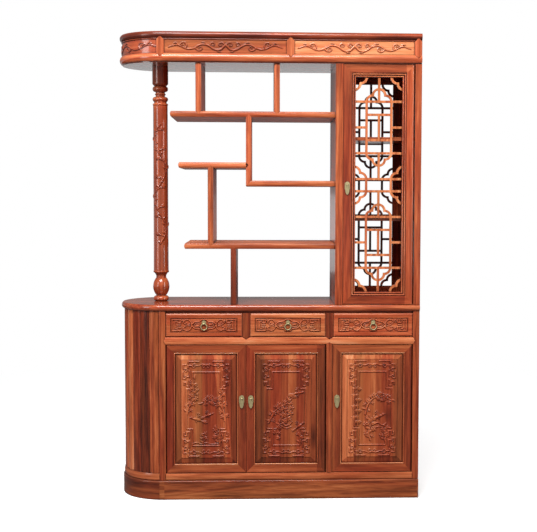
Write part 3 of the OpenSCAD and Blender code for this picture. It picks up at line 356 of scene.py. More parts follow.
@dataclass(frozen=True)
class WoodFinish:
    """Glossy lacquered hardwood of one tone and layout.

    Attributes:
        name: The material's name.
        tone: Place on the palette, from dark red-brown to light orange.
        layout: How the pieces of wood lie.
        figure: Strength of the grain's figure.
        boards: How much the pieces of wood differ in tone.
        board_width: Width of one glued board, in metres.
        slant: Sideways lean of the boards' joints.
        middle: Middle of a frame, along the front and up.
        half: Half its width and height.
        stile_tone: Tone added on a frame's upright members, or at the joints of staves.
        beads: How far a frame's beads lie from its outer edge.
        bead_tone: Painted highlight: tone added in a line along each bead, for the light that the beads catch.
        bands: Boards, stained patches and patches of painted light and shade, of another tone.
        members: Tone added on each numbered piece of wood, in order.
        brown: Share of brown wood among the red.
        ink: Painted shade: how dark the hollows of carving are painted.
        crest: Tone added on carved crests.
        roughness: Roughness of the wood under the lacquer.
        coat: Weight of the lacquer.
        crest_coat: Lacquer added on carved crests.
        coat_roughness: Roughness of the lacquer.
        stain: Painted shade: how dark corners and recesses are painted.
        rubbed: Painted light and shade: how much lighter slopes are painted that look up, and darker those that look
            down, as if lit from above.
        turned: Whether members at the right end run from front to back.
        mixed: How much the share of brown wood varies.
        seed: Moves the figure, so that equal pieces differ.
    """

    name: str
    tone: float = 0.5
    layout: Layout = Layout.UPRIGHT
    figure: float = 0.5
    boards: float = 0.18
    board_width: float = 0.09
    slant: float = 0.0
    middle: Point = (0.0, 0.0)
    half: Point = (0.1, 0.1)
    stile_tone: float = 0.0
    beads: tuple[float, ...] = ()
    bead_tone: float = 0.3
    bands: tuple[Band, ...] = ()
    members: tuple[float, ...] = ()
    brown: float = 0.35
    ink: float = 0.6
    crest: float = -0.02
    roughness: float = 0.36
    coat: float = 0.4
    crest_coat: float = -0.3
    coat_roughness: float = 0.14
    stain: float = 0.8
    rubbed: float = 0.0
    turned: bool = True
    mixed: float = 1.8
    seed: float = 0.0

    # Where the grain bends and turns, and how the pieces of wood are told apart, in metres and radians.
    RIGHT_X = 0.65
    HALF_DEPTH = 0.2
    LENGTH_SHARE = 0.055
    BEND_X = -0.45
    BEND_RADIUS = 0.19
    STAVE_STEP = math.radians(167.1 / 12)
    STAVE_START = math.radians(96.45)
    STAVE_JOINT = 0.03
    BEAD_HALF = 0.0015
    JOINT_WANDER = 0.012
    MEMBER_SHIFT = 0.37
    SHIFTS = (1.0, 0.7, 0.3)
    DRAWS = (1.7, 3.1)
    # Each noise has its features per metre, finer layers, their weight and its distortion.
    WANDER = (9.0, 2.0, 0.5, 0.8)
    STREAK = (70.0, 6.0, 0.62, 0.4)
    FINE = (330.0, 3.0, 0.6)
    HUE = (24.0, 3.0, 0.6, 0.5)
    # How strongly each layer of the figure shows, and what lies over it.
    LINES_STEP = 240.0
    LINES_WANDER = 44.0
    FIGURE_SHARES = (1.0, 1.9, 0.2, 0.8)
    BROWN_SHARE = 0.4
    SLOPE = 5.0
    PORE, PORE_LEVEL, PORE_SHARE = colour(44, 14, 9), 0.33, 0.25
    # Painted shade in corners and recesses: its colour, the reach that finds them and its weight.
    CORNER, CORNER_REACH, CORNER_SHARE = colour(46, 12, 8), 0.007, 2.4
    # Colour of the painted shade in the hollows of carving.
    INK = colour(50, 14, 8)
    ARRIS = 0.0012
    BUMP = {"Strength": 0.18, "Distance": 0.0004}
    BUMP_SHARES = (0.6, 0.4)
    DRY = 0.16
    SPECULAR = 0.2

    def _turned(self, x: Sock, y: Sock, along: Sock, across: Sock) -> tuple[Sock, Sock]:
        """Turns the grain where a member runs back along the right end.

        Args:
            x: The place along the front.
            y: The place from front to back.
            along: The stretched place along a front member.
            across: The place across a front member.

        Returns:
            The places along the front and back, stretched the way each member runs.
        """
        if not self.turned:
            return along, across
        side = (x * -1.0 + self.RIGHT_X) < (abs(y) * -1.0 + self.HALF_DEPTH)
        return side.pick(x, along), side.pick(y * self.LENGTH_SHARE, across)

    def _grain(self, g: Graph, x: Sock, y: Sock, z: Sock) -> tuple[Sock, Sock, Sock]:
        """The place in the wood's own directions.

        Args:
            g: The material's graph.
            x: The place along the front.
            y: The place from front to back.
            z: The height.

        Returns:
            The stretched place, the number of the piece of wood, and the tone that its kind of member adds.
        """
        short = self.LENGTH_SHARE
        number = added = x * 0.0
        if self.layout is Layout.UPRIGHT:
            z = z * short
        elif self.layout is Layout.LENGTHWISE:
            x, y = self._turned(x, y, x * short, y)
        elif self.layout is Layout.FRAME:
            out_x = abs(x - self.middle[0]) - self.half[0]
            out_z = abs(z - self.middle[1]) - self.half[1]
            upright = out_x > out_z
            number = upright.pick(1.0 + (x > self.middle[0]), 3.0 + (z > self.middle[1]))
            added = upright * self.stile_tone
            out = upright.pick(out_x, out_z)
            # Painted highlight: a lighter line along each bead.
            for bead in self.beads:
                added = added + (abs(out + bead) < self.BEAD_HALF) * self.bead_tone
            x = x * (short + upright * (1.0 - short))
            z = z * (1.0 - upright * (1.0 - short))
        elif self.layout is Layout.BENT:
            bent = x < self.BEND_X
            away = x - self.BEND_X
            turn = g.angle(away, 0.0 - y)
            reach = (away * away + y * y) ** 0.5
            x, y = self._turned(x, y, bent.pick(turn * self.BEND_RADIUS + self.BEND_X, x) * short,
                                bent.pick(reach, y))
        elif self.layout is Layout.STAVES:
            turn = g.angle(y, x - self.BEND_X)
            turn = turn + (turn < 0.0) * (2 * math.pi)
            steps = (turn - self.STAVE_START) / self.STAVE_STEP
            number = steps.floor()
            added = (abs(steps - number - 0.5) > 0.5 - self.STAVE_JOINT) * self.stile_tone
            z = z * short
        else:
            wander = g.noise(g.node("CombineXYZ", {}, {2: z}), 2.0, 1.0) - 0.5
            joint = x + z * self.slant + wander * self.JOINT_WANDER
            number = (joint / self.board_width + self.seed).floor()
            z = z * short
        shift = number * self.MEMBER_SHIFT + self.seed
        moved = {k: side + shift * share for k, (side, share) in enumerate(zip((x, y, z), self.SHIFTS))}
        return g.node("CombineXYZ", {}, moved), number, added

    def _member_tone(self, g: Graph, number: Sock) -> Sock:
        """The tone of each numbered piece of wood, read from a stepped ramp.

        Args:
            g: The material's graph.
            number: The number of the piece of wood.

        Returns:
            The tone that it adds.
        """
        count = len(self.members)
        steps = [(k / count, (0.5 + tone, 0.5 + tone, 0.5 + tone, 1.0)) for k, tone in enumerate(self.members)]
        own = g.node("ValToRGB", {"stops": steps, "interpolation": "CONSTANT"}, {0: (number + 0.5) / count}, "Color")
        return g.node("SeparateColor", {}, {0: own}, 0) - 0.5

    def make(self) -> bpy.types.Material:
        """Builds the material.

        Returns:
            The finished material.
        """
        material, g = new_material(self.name)
        x, y, z = (g.part(g.place(), k) for k in range(3))
        place, number, added = self._grain(g, x, y, z)
        wander, streak, fine, hue = (g.noise(place, *noise) for noise in
                                     (self.WANDER, self.STREAK, self.FINE, self.HUE))
        lines = (g.part(place, 0) * self.LINES_STEP + wander * self.LINES_WANDER).sine() * 0.5 + 0.5
        step, jump = self.DRAWS
        member = g.node("TexWhiteNoise", {"noise_dimensions": "1D"}, {"W": number * step + self.seed * jump},
                        "Value") - 0.5
        hollow = g.node("Attribute", {"attribute_name": HOLLOW}, {}, "Fac")
        raised = (hollow * -1.0).clamped()
        value = sum((layer - 0.5) * (share * self.figure)
                    for layer, share in zip((wander, streak, lines, fine), self.FIGURE_SHARES))
        value = value + member * (2.0 * self.boards) + added + self.tone
        brown = (hue - 0.5) * self.mixed + member * self.BROWN_SHARE + self.brown
        coat = raised * self.crest_coat + self.coat
        if self.members:
            value = value + self._member_tone(g, number)
        for band in self.bands:
            share = band.share(x, z, wander)
            value, brown, coat = value + share * band.tone, brown + share * band.brown, coat + share * band.gloss
        # Painted light and shade: the tone follows the normal's height, lighter on slopes that look up and darker on
        # those that look down.
        if self.rubbed:
            slope = (g.part(g.place("Normal"), 2) * self.SLOPE + 1.0) * 0.5
            value = value + slope.clamped() * (2.0 * self.rubbed) - self.rubbed
        value = (value + raised * self.crest).clamped()
        reds, browns = (g.node("ValToRGB", {"stops": stops}, {0: value}, "Color")
                        for stops in (RED_PALETTE, BROWN_PALETTE))
        tint = g.mix(reds, browns, (brown - raised * self.BROWN_SHARE).clamped())
        tint = g.mix(tint, self.PORE, (fine * streak > self.PORE_LEVEL) * self.PORE_SHARE * self.figure)
        # Painted shade: corners and recesses found by ambient occlusion are painted dark.
        tint = g.mix(tint, self.CORNER, (g.corners(self.CORNER_REACH, 8) * self.CORNER_SHARE).clamped() * self.stain)
        # Painted shade: the hollows of carving are painted dark.
        tint = g.mix(tint, self.INK, (hollow * self.ink).clamped())
        streaks, pores = self.BUMP_SHARES
        normal = g.node("Bump", {}, {**self.BUMP, "Height": streak * streaks + fine * pores,
                                     "Normal": g.arris(self.ARRIS)})
        g.whole(g.node("BsdfPrincipled", {}, {
            "Base Color": tint, "Roughness": self.roughness + (streak - 0.5) * self.DRY,
            "Coat Weight": coat.clamped(), "Coat Roughness": self.coat_roughness,
            "Specular IOR Level": self.SPECULAR, "Normal": normal}))
        return material


@dataclass(frozen=True)
class BrassFinish:
    """Aged satin brass with a little tarnish.

    Attributes:
        name: The material's name.
        bright: Colour of the brass where handling has worn it.
        dull: Colour of the tarnish.
        metallic: How much it mirrors as metal.
        roughness: Roughness of the brass where handling has worn it.
    """

    name: str = "aged_brass"
    bright: Colour = colour(196, 180, 134)
    dull: Colour = colour(112, 98, 64)
    metallic: float = 0.6
    roughness: float = 0.38

    CLOUD, SPECK = (90.0, 4.0, 0.6), (900.0, 2.0, 0.5)
    CORNER_SHARE, CLOUD_SHARE, SPECK_SHARE = 0.8, 0.9, 0.3
    CORNER_REACH, ARRIS = 0.004, 0.0006

    def make(self) -> bpy.types.Material:
        """Builds the material.

        Returns:
            The finished material.
        """
        material, g = new_material(self.name)
        cloud, speck = (g.noise(g.place(), *noise) for noise in (self.CLOUD, self.SPECK))
        dirt = (g.corners(self.CORNER_REACH, 6) * self.CORNER_SHARE + (cloud - 0.45) * self.CLOUD_SHARE
                + (speck - 0.5) * self.SPECK_SHARE).clamped()
        normal = g.node("Bump", {}, {"Strength": 0.1, "Distance": 0.0002, "Height": cloud + speck * self.SPECK_SHARE,
                                     "Normal": g.arris(self.ARRIS)})
        g.whole(g.node("BsdfPrincipled", {}, {
            "Base Color": g.mix(self.bright, self.dull, dirt), "Metallic": self.metallic,
            "Roughness": self.roughness + dirt * 0.2, "Normal": normal}))
        return material


@dataclass(frozen=True)
class Lamp:
    """A soft box.

    Attributes:
        name: The lamp's name.
        place: Where it hangs.
        size: Its width and height in metres.
        watts: Its power.
        aim: Height on the cabinet's axis that it points at.
        mirrored: Whether the lacquer mirrors it.
    """

    name: str
    place: Triple
    size: Point
    watts: float
    aim: float = 1.0
    mirrored: bool = True

    def hang(self) -> None:
        """Puts the lamp into the scene."""
        data = bpy.data.lights.new(self.name, "AREA")
        data.shape = "RECTANGLE"
        data.size, data.size_y = self.size
        data.energy = self.watts
        made = add_object(self.name, data)
        made.visible_glossy = self.mirrored
        away = Vector(self.place) - Vector((0.0, 0.0, self.aim))
        made.matrix_world = Matrix.Translation(self.place) @ away.to_track_quat("Z", "Y").to_matrix().to_4x4()


@dataclass
class Studio:
    """Floor, world, lamps and the camera, which stands where the photograph was taken.

    Attributes:
        floor_rings: Radii of the floor's rings, in metres.
        floor_steps: Corners of each ring.
        floor_fade: Distance at which the floor starts to turn white, and the width of that change.
        image_width: The photograph's width in pixels.
        focal_pixels: Focal length in pixels.
        principal_x: Column that the camera looks straight at.
        camera_place: Where the camera stands.
        yaw: Its turn to the right.
        pitch: Its turn down.
        roll: Its lean.
        lamps: The soft boxes.
    """

    floor_rings: tuple[float, ...] = (1.5, 3.0, 6.0, 14.0)
    floor_steps: int = 96
    floor_fade: Point = (1.2, 2.5)
    image_width: int = 537
    focal_pixels: float = 1115.15
    principal_x: float = 313.05
    camera_place: Triple = (-0.028, -4.954, 1.317)
    yaw: float = 0.0454
    pitch: float = 0.0641
    roll: float = 0.0035
    lamps: tuple[Lamp, ...] = (
        Lamp("box_left", (-3.4, -2.6, 1.9), (1.2, 2.4), 52.0),
        Lamp("box_right", (3.4, -2.6, 1.9), (0.7, 2.4), 50.0),
        Lamp("over_head", (-0.7, -3.0, 4.2), (2.6, 1.2), 235.0, aim=0.9),
        Lamp("behind", (0.6, 3.6, 2.6), (2.4, 2.0), 75.0, mirrored=False),
    )

    def camera(self) -> None:
        """Makes the scene's camera."""
        ahead = Vector((math.sin(self.yaw) * math.cos(self.pitch), math.cos(self.yaw) * math.cos(self.pitch),
                        -math.sin(self.pitch)))
        right = Vector((math.cos(self.yaw), -math.sin(self.yaw), 0.0))
        up = right.cross(ahead)
        right, up = (right * math.cos(self.roll) + up * math.sin(self.roll),
                     up * math.cos(self.roll) - right * math.sin(self.roll))
        data = bpy.data.cameras.new("photo_camera")
        data.sensor_width = 36.0
        data.lens = self.focal_pixels * data.sensor_width / self.image_width
        data.shift_x = (self.image_width / 2 - self.principal_x) / self.image_width
        data.clip_end = 60.0
        made = add_object("photo_camera", data)
        made.matrix_world = Matrix.Translation(self.camera_place) @ Matrix((right, up, -ahead)).transposed().to_4x4()
        bpy.context.scene.camera = made

    def world(self) -> None:
        """A white world to the eye and to reflections, and a soft grey one as light."""
        made = bpy.data.worlds.new("studio")
        made.use_nodes = True
        bpy.context.scene.world = made
        g = Graph(made.node_tree)
        eye, through, mirrored = (g.node("LightPath", {}, {}, f"Is {ray} Ray")
                                  for ray in ("Camera", "Transmission", "Glossy"))
        glow = g.light("Background", (1.0, 0.985, 0.97, 1.0), 0.16)
        glossy = g.light("Background", WHITE, (g.part(g.place("Generated"), 2) < 0.0) * 0.6 + 0.25)
        lit = g.node("MixShader", {}, {0: mirrored, 1: glow, 2: glossy})
        bare = g.light("Background", WHITE, 1.0)
        g.whole(g.node("MixShader", {}, {0: (eye + through).clamped(), 1: lit, 2: bare}), "OutputWorld")

    def floor(self) -> None:
        """A wide round pale floor that keeps the cabinet's shadow and melts into the white behind it."""
        steps = self.floor_steps
        points = [(0.0, 0.0, 0.0)]
        faces = []
        for ring, reach in enumerate(self.floor_rings):
            points += [(reach * math.cos(2 * math.pi * k / steps), reach * math.sin(2 * math.pi * k / steps), 0.0)
                       for k in range(steps)]
            base = 1 + ring * steps
            for k in range(steps):
                after = (k + 1) % steps
                inner = (base - steps + after, base - steps + k) if ring else (0,)
                faces.append((base + k, base + after, *inner))
        data = bpy.data.meshes.new("floor")
        data.from_pydata(points, [], faces)
        material, g = new_material("pale_floor")
        far = g.node("VectorMath", {"operation": "LENGTH"}, {0: g.place()}, "Value")
        start, width = self.floor_fade
        matt = g.node("BsdfDiffuse", {}, {"Color": colour(236, 236, 236)})
        near = g.node("AddShader", {}, {0: matt, 1: g.light("Emission", WHITE, 0.45)})
        shown = g.node("MixShader", {}, {0: ((far - start) / width).clamped(), 1: near,
                                         2: g.light("Emission", WHITE, 1.0)})
        bounce = g.node("BsdfDiffuse", {}, {"Color": colour(112, 110, 108)})
        g.whole(g.node("MixShader", {}, {0: g.node("LightPath", {}, {}, "Is Camera Ray"), 1: bounce, 2: shown}))
        data.materials.append(material)
        add_object("floor", data)

    def build(self) -> None:
        """Sets up the whole studio."""
        self.camera()
        self.world()
        self.floor()
        for lamp in self.lamps:
            lamp.hang()
        bpy.context.scene.view_settings.view_transform = "Standard"
        LOG.info("studio: camera, floor, world and %d soft boxes", len(self.lamps))


def smooth(points: Iterable[Point]) -> np.ndarray:
    """A smooth line through points.

    Args:
        points: Places that the line passes.

    Returns:
        The line's places, one row each.
    """
    rows = np.array(list(points), float)
    ends = np.vstack([2 * rows[0] - rows[1], rows, 2 * rows[-1] - rows[-2]])
    t = np.linspace(0.0, 1.0, LINE_STEPS, endpoint=False)[:, None]
    made = []
    for before, start, stop, after in zip(ends[:-3], ends[1:-2], ends[2:-1], ends[3:]):
        made.append(0.5 * (2 * start + (stop - before) * t + (2 * before - 5 * start + 4 * stop - after) * t ** 2
                           + (3 * start - before - 3 * stop + after) * t ** 3))
    return np.vstack([*made, rows[-1:]])


def spiral(middle: Point, radius: float, turns: float, start: float) -> np.ndarray:
    """A curl that winds inwards.

    Args:
        middle: Middle of the curl.
        radius: Its outer radius.
        turns: Number of turns, below zero for clockwise.
        start: Angle of its outer end, in degrees.

    Returns:
        The curl's places.
    """
    t = np.linspace(0.0, 1.0, max(10, int(abs(turns) * 20)))
    angle = math.radians(start) + 2 * math.pi * turns * t
    reach = radius * (1 - (1 - CURL_END) * t)
    return np.column_stack((middle[0] + reach * np.cos(angle), middle[1] + reach * np.sin(angle)))


def direction(angle: float) -> np.ndarray:
    """The unit vector at an angle in degrees."""
    turn = math.radians(angle)
    return np.array((math.cos(turn), math.sin(turn)))


@dataclass
class ReliefSheet:
    """A field of carving, as heights over a fine grid, all in millimetres.

    Attributes:
        width: Width of the field.
        height: Height of the field.
        pitch: Distance between grid lines.
        sink: How far the ground of the sheet lies under the surface that it sits on.
        margin: Width of the ground that a raised line keeps round it, which takes the hollows' painted shade.
        lift: Height of that ground over the surface.
        depth: How much higher all crests are cut than they are drawn.
        bold: How much larger leaves, flowers and birds are cut than they are drawn.
    """

    width: float
    height: float
    pitch: float = 1.0
    sink: float = 0.6
    margin: float = 2.4
    lift: float = 0.12
    depth: float = 1.4
    bold: float = 1.3
    u: np.ndarray = field(init=False)
    v: np.ndarray = field(init=False)
    rise: np.ndarray = field(init=False)

    TWIG_STEP, TWIG_TURN, TWIG_LENGTH, TWIG_HALF, TWIG_HIGH = 19.0, 52, 12.5, 1.3, 1.5
    TWIG_LEAVES, TWIG_LEAF_LENGTH, TWIG_LEAF_HALF = (-55, 0, 55), 10.5, 2.0
    LEAF_SHARE, LEAF_BEND, LEAF_TIP = 0.19, 0.14, 0.6
    BLUR, HOLLOW_DEPTH = 5, 0.7
    UNDERSIDE = 0.3

    def __post_init__(self) -> None:
        """Lays out the empty grid."""
        self.u, self.v = (np.linspace(-side / 2, side / 2, int(side / self.pitch) + 1)
                          for side in (self.width, self.height))
        self.rise = np.full((len(self.v), len(self.u)), -self.sink)

    def stroke(self, path: Iterable[Point], half: float | np.ndarray, high: float = 1.8,
               tail: float | None = None) -> None:
        """Raises one rounded line.

        Args:
            path: Places along its middle.
            half: Half its width, or one value for each place.
            high: Height of its crest.
            tail: Half its width at its end, where it tapers.
        """
        rows = np.asarray(path, float)
        halves = np.asarray(half, float) if np.ndim(half) else np.linspace(half, half if tail is None else tail,
                                                                           len(rows))
        widest = halves.max()
        for start, stop, first, last in zip(rows[:-1], rows[1:], halves[:-1], halves[1:]):
            reach = max(first, last) + self.margin + 1.5 * self.pitch
            low = np.minimum(start, stop) - reach
            top = np.maximum(start, stop) + reach
            i0, i1 = np.searchsorted(self.u, (low[0], top[0]))
            j0, j1 = np.searchsorted(self.v, (low[1], top[1]))
            if i0 == i1 or j0 == j1:
                continue
            u, v = np.meshgrid(self.u[i0:i1], self.v[j0:j1])
            along = stop - start
            span = max(float(along @ along), 1e-9)
            t = np.clip(((u - start[0]) * along[0] + (v - start[1]) * along[1]) / span, 0, 1)
            away = np.hypot(u - start[0] - t * along[0], v - start[1] - t * along[1])
            local = first + (last - first) * t
            crest = high * self.depth * (0.45 + 0.55 * local / widest)
            round_top = crest * np.sqrt(np.clip(1 - (away / local) ** 2, 0, 1))
            beyond = np.clip((away - local - self.margin) / self.pitch, 0, 1)
            flank = self.lift - (self.lift + self.sink) * beyond
            window = self.rise[j0:j1, i0:i1]
            np.maximum(window, np.where(away < local, np.maximum(round_top, self.lift), flank), out=window)

    def mirrored(self, path: Iterable[Point], *cut: float, over: bool = True) -> None:
        """Raises a line and its mirror images.

        Args:
            path: Places along its middle.
            *cut: How it is cut, as stroke takes it.
            over: Whether it is mirrored top to bottom too.
        """
        for sign_u in (1, -1):
            for sign_v in (1, -1) if over else (1,):
                self.stroke(np.asarray(path, float) * (sign_u, sign_v), *cut)

    def leaf(self, place: Point, angle: float, length: float, half: float, high: float = 1.6) -> None:
        """Raises one pointed leaf.

        Args:
            place: Where its stalk joins.
            angle: Its direction in degrees.
            length: Its length.
            half: Half its greatest width.
            high: Height of its crest.
        """
        t = np.linspace(0.0, 1.0, 8)
        turn = math.radians(angle)
        bend = self.LEAF_BEND * length * np.sin(math.pi * t)
        path = np.column_stack((place[0] + length * t * math.cos(turn) - bend * math.sin(turn),
                                place[1] + length * t * math.sin(turn) + bend * math.cos(turn)))
        self.stroke(path, self.LEAF_TIP + half * np.sin(math.pi * t ** 0.8), high)

    def blossom(self, place: Point, radius: float, turn: float = 90.0) -> None:
        """Raises a flower of five petals round a bud.

        Args:
            place: Its middle.
            radius: Its radius.
            turn: Direction of its first petal in degrees.
        """
        middle = np.array(place)
        for petal in range(5):
            ray = radius * direction(turn + 72 * petal)
            self.stroke([middle + ray * 0.25, middle + ray * 0.72], radius * 0.26, 1.7, radius * 0.34)
        self.stroke([middle, middle + (0.2, 0.0)], radius * 0.24, 2.3)

    def bird(self, place: Point, size: float, facing: int = 1, tilt: float = 12.0) -> None:
        """Raises a small songbird with spread wings.

        Args:
            place: Middle of its body.
            size: Length of its body.
            facing: One for right and minus one for left.
            tilt: How far its beak points up, in degrees.
        """
        turn = math.radians(tilt)
        size *= self.bold

        def at(along: float, up: float) -> Point:
            """A place on the bird, in body lengths."""
            along, up = along * size, up * size
            return (place[0] + facing * (along * math.cos(turn) - up * math.sin(turn)),
                    place[1] + along * math.sin(turn) + up * math.cos(turn))

        def feather(root: Point, angle: float, reach: float, half: float, high: float, tail: float) -> None:
            """A straight feather from its root, half widths in body lengths."""
            along, up = reach * direction(angle)
            self.stroke([at(*root), at(root[0] + along, root[1] + up)], size * half, high, size * tail)

        t = np.linspace(0.0, 1.0, 9)
        self.stroke([at(-0.5 + x, 0.04 * math.sin(math.pi * x)) for x in t],
                    size * (0.03 + 0.13 * np.sin(math.pi * t ** 0.75)), 2.2)
        self.stroke([at(0.48, 0.06), at(0.52, 0.07)], size * 0.11, 2.3)
        self.stroke([at(0.6, 0.07), at(0.74, 0.03)], size * 0.04, 1.6, size * 0.015)
        for angle, reach in ((172, 0.5), (184, 0.62), (194, 0.5)):
            feather((-0.45, 0.0), angle, reach, 0.035, 1.5, 0.06)
        for angle, reach in ((125, 0.52), (108, 0.62), (92, 0.6), (-118, 0.34)):
            feather((0.08, 0.05), angle, reach, 0.06, 1.7, 0.045)

    def spray(self, path: Iterable[Point], half: float, leaves: Iterable[Triple],
              blossoms: Iterable[Triple]) -> None:
        """Raises a flowering branch with leafy twigs.

        Args:
            path: Places along its wood, from the thick end.
            half: Half its width at the thick end.
            leaves: For each leaf, its share of the way along, its angle and its length.
            blossoms: For each flower, its place and radius.
        """
        line = smooth(path)
        self.stroke(line, half, 2.0, half * 0.35)
        count = int(np.hypot(*(line[1:] - line[:-1]).T).sum() / self.TWIG_STEP)
        for k in range(count):
            spot = int((k + 0.5) / count * (len(line) - 2))
            along = line[spot + 1] - line[spot]
            turn = math.degrees(math.atan2(along[1], along[0])) + (-self.TWIG_TURN, self.TWIG_TURN)[k % 2]
            tip = line[spot] + self.TWIG_LENGTH * direction(turn)
            self.stroke([line[spot], tip], self.TWIG_HALF, self.TWIG_HIGH)
            for lean in self.TWIG_LEAVES:
                self.leaf(tip, turn + lean, self.TWIG_LEAF_LENGTH, self.TWIG_LEAF_HALF)
        for share, angle, length in leaves:
            length *= self.bold
            self.leaf(line[int(share * (len(line) - 1))], angle, length, length * self.LEAF_SHARE)
        for u, v, radius in blossoms:
            self.blossom((u, v), radius * self.bold, 90 + 11 * u)

    def _hollows(self) -> np.ndarray:
        """How deep each place lies among its neighbours.

        Returns:
            One in hollows and below zero on crests, for each place of the grid.
        """
        ground = np.maximum(self.rise, 0.0)
        mean = ground.copy()
        blur = range(self.BLUR)
        for _ in range(2):
            wide = np.pad(mean, self.BLUR // 2, mode="edge")
            rows = sum(wide[k:k + mean.shape[0], :] for k in blur) / self.BLUR
            mean = sum(rows[:, k:k + mean.shape[1]] for k in blur) / self.BLUR
        return np.clip((mean - ground) / self.HOLLOW_DEPTH, -1.0, 1.0)

    def piece(self, name: str, mapping: Mapping, material: bpy.types.Material, body: str = "cabinet",
              slot: str = "wood_light") -> None:
        """Turns the raised parts into a closed mesh that rides on a body.

        Args:
            name: The piece's name.
            mapping: Gives places in metres from across, up and out in millimetres.
            material: The wood that it is carved in.
            body: The body that it is carved on.
            slot: Not used.
        """
        rise = self.rise
        cells = np.maximum.reduce([rise[:-1, :-1], rise[1:, :-1], rise[:-1, 1:], rise[1:, 1:]]) > 0
        columns = rise.shape[1]
        index = np.arange(rise.size).reshape(rise.shape)
        rows, cols = np.nonzero(cells)
        corners = ((0, 0), (0, 1), (1, 1), (1, 0))
        quads = np.column_stack([index[rows + down, cols + right] for down, right in corners])
        padded = np.pad(cells, 1)
        walls = []
        for side, (down, right) in enumerate(((-1, 0), (0, 1), (1, 0), (0, -1))):
            open_side = ~padded[rows + 1 + down, cols + 1 + right]
            walls.append(quads[open_side][:, [side, (side + 1) % 4]])
        edges = np.vstack(walls)
        used = np.unique(quads)
        count = len(used)
        number = np.full(rise.size, -1)
        number[used] = np.arange(count)
        u, v = self.u[used % columns], self.v[used // columns]
        top = mapping(u, v, rise.ravel()[used])
        bottom = mapping(u, v, np.full(count, -self.sink - self.UNDERSIDE))
        upper = number[quads]
        start, stop = number[edges[:, 0]], number[edges[:, 1]]
        faces = np.vstack((upper, upper[:, ::-1] + count, np.column_stack((stop, start, start + count, stop + count))))
        data = bpy.data.meshes.new(name)
        data.from_pydata(np.vstack((top, bottom)).tolist(), [], faces.tolist())
        data.polygons.foreach_set("use_smooth", np.ones(len(faces), bool))
        hollow = data.attributes.new(HOLLOW, "FLOAT", "POINT")
        hollow.data.foreach_set("value", np.tile(self._hollows().ravel()[used], 2).astype(np.float32))
        data.materials.append(material)
        made = add_object(name, data)
        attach(made, body)
        LOG.info("%s: %d faces of carving", name, len(faces))


def flat_front(middle_x: float, y: float, middle_z: float) -> Mapping:
    """A mapping onto a flat face that looks to the front.

    Args:
        middle_x: Middle of the field along the front, in millimetres.
        y: The face.
        middle_z: Middle of the field above the floor.

    Returns:
        The mapping.
    """
    return lambda u, v, out: np.column_stack((middle_x + u, y - out, middle_z + v)) * MM


def round_face(axis_x: float, radius: float, middle_z: float, turn: float, taper: float = 0.0) -> Mapping:
    """A mapping onto an upright round face.

    Args:
        axis_x: The face's axis, in millimetres.
        radius: Its radius at the middle height.
        middle_z: Middle of the field above the floor.
        turn: Direction of the field's middle, in degrees from the front towards the left.
        taper: Radius lost for each millimetre of height.

    Returns:
        The mapping.
    """
    def place(u: np.ndarray, v: np.ndarray, out: np.ndarray) -> np.ndarray:
        """Places in metres."""
        angle, reach = math.radians(turn) - u / radius, radius - taper * v + out
        return np.column_stack((axis_x - reach * np.sin(angle), -reach * np.cos(angle), middle_z + v)) * MM

    return place


def dress(finish: WoodFinish | BrassFinish, *nodes: str) -> bpy.types.Material:
    """Gives CAD nodes their finish.

    Args:
        finish: The finish to build.
        *nodes: Names of the nodes that take it.

    Returns:
        The material.
    """
    material = finish.make()
    for name in nodes:
        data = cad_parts[name].data
        data.materials.clear()
        data.materials.append(material)
        LOG.info("%s: %s", name, finish.name)
    return material


def wood(name: str, tone: float, layout: Layout, figure: float, nodes: Iterable[str],
         **settings: Any) -> bpy.types.Material:
    """Gives CAD nodes one wood.

    Args:
        name: The material's name, without its last word.
        tone: The wood's tone.
        layout: How the pieces of wood lie.
        figure: Strength of the grain's figure.
        nodes: Names of the nodes.
        **settings: Other fields of the finish.

    Returns:
        The material.
    """
    return dress(WoodFinish(f"{name}_wood", tone, layout, figure, **settings), *nodes)


UPRIGHT, ALONG, BENT, BOARDS, FRAME = (
    Layout.UPRIGHT, Layout.LENGTHWISE, Layout.BENT, Layout.BOARDS, Layout.FRAME)


@dataclass
class Carcass:
    """The base cabinet's frame, panels, counter and inside.

    Attributes:
        staves: Tone added on each stave of the round end, from back to front.
    """

    staves: tuple[float, ...] = (0.04, -0.10, 0.08, -0.04, 0.06, -0.08, 0.14, 0.24, 0.30, 0.06, -0.20, 0.05)

    def build(self) -> None:
        """Dresses the base's fixed nodes."""
        wood("plinth", 0.43, BENT, 0.5, ["plinth_boards"], boards=0.05, brown=0.7, seed=0.4)
        wood("plinth_end", 0.34, BENT, 0.5, ["plinth_end"], boards=0.05, brown=0.4, seed=0.7)
        wood("foot_ring", 0.50, BENT, 0.45, ["foot_ring"], seed=1.1)
        wood("stave", 0.42, Layout.STAVES, 0.5, ["end_staves"], boards=0.03, members=self.staves, seed=2.0,
             stile_tone=-0.28, roughness=0.3)
        wood("post", 0.44, UPRIGHT, 0.4, ["front_posts", "back_posts"], seed=3.0)
        # The second band is painted shade: the top rail under the counter is painted dark.
        wood("rail", 0.76, ALONG, 0.4, ["front_rails", "carcass_rails"], boards=0.03, seed=4.0,
             bands=(Band(0.1, 0.62, -0.08, 0.097, 0.02, brown=0.4), Band(0.1, 0.62, -0.45, 0.813, 0.0055)))
        wood("muntin", 0.26, UPRIGHT, 0.4, ["drawer_muntins"], seed=5.0)
        wood("back_panel", 0.52, BOARDS, 0.4, ["back_panels"], boards=0.12, seed=6.0)
        wood("side_panel", 0.50, UPRIGHT, 0.45, ["side_panel"], seed=7.0)
        wood("inner", 0.28, ALONG, 0.4, ["base_floor", "partitions", "inner_shelves", "drawer_runners"],
             coat=0.2, roughness=0.45, seed=8.0)
        wood("counter", 0.60, ALONG, 0.4, ["counter_top"], boards=0.03, turned=False, coat=0.75, roughness=0.26,
             seed=9.0)


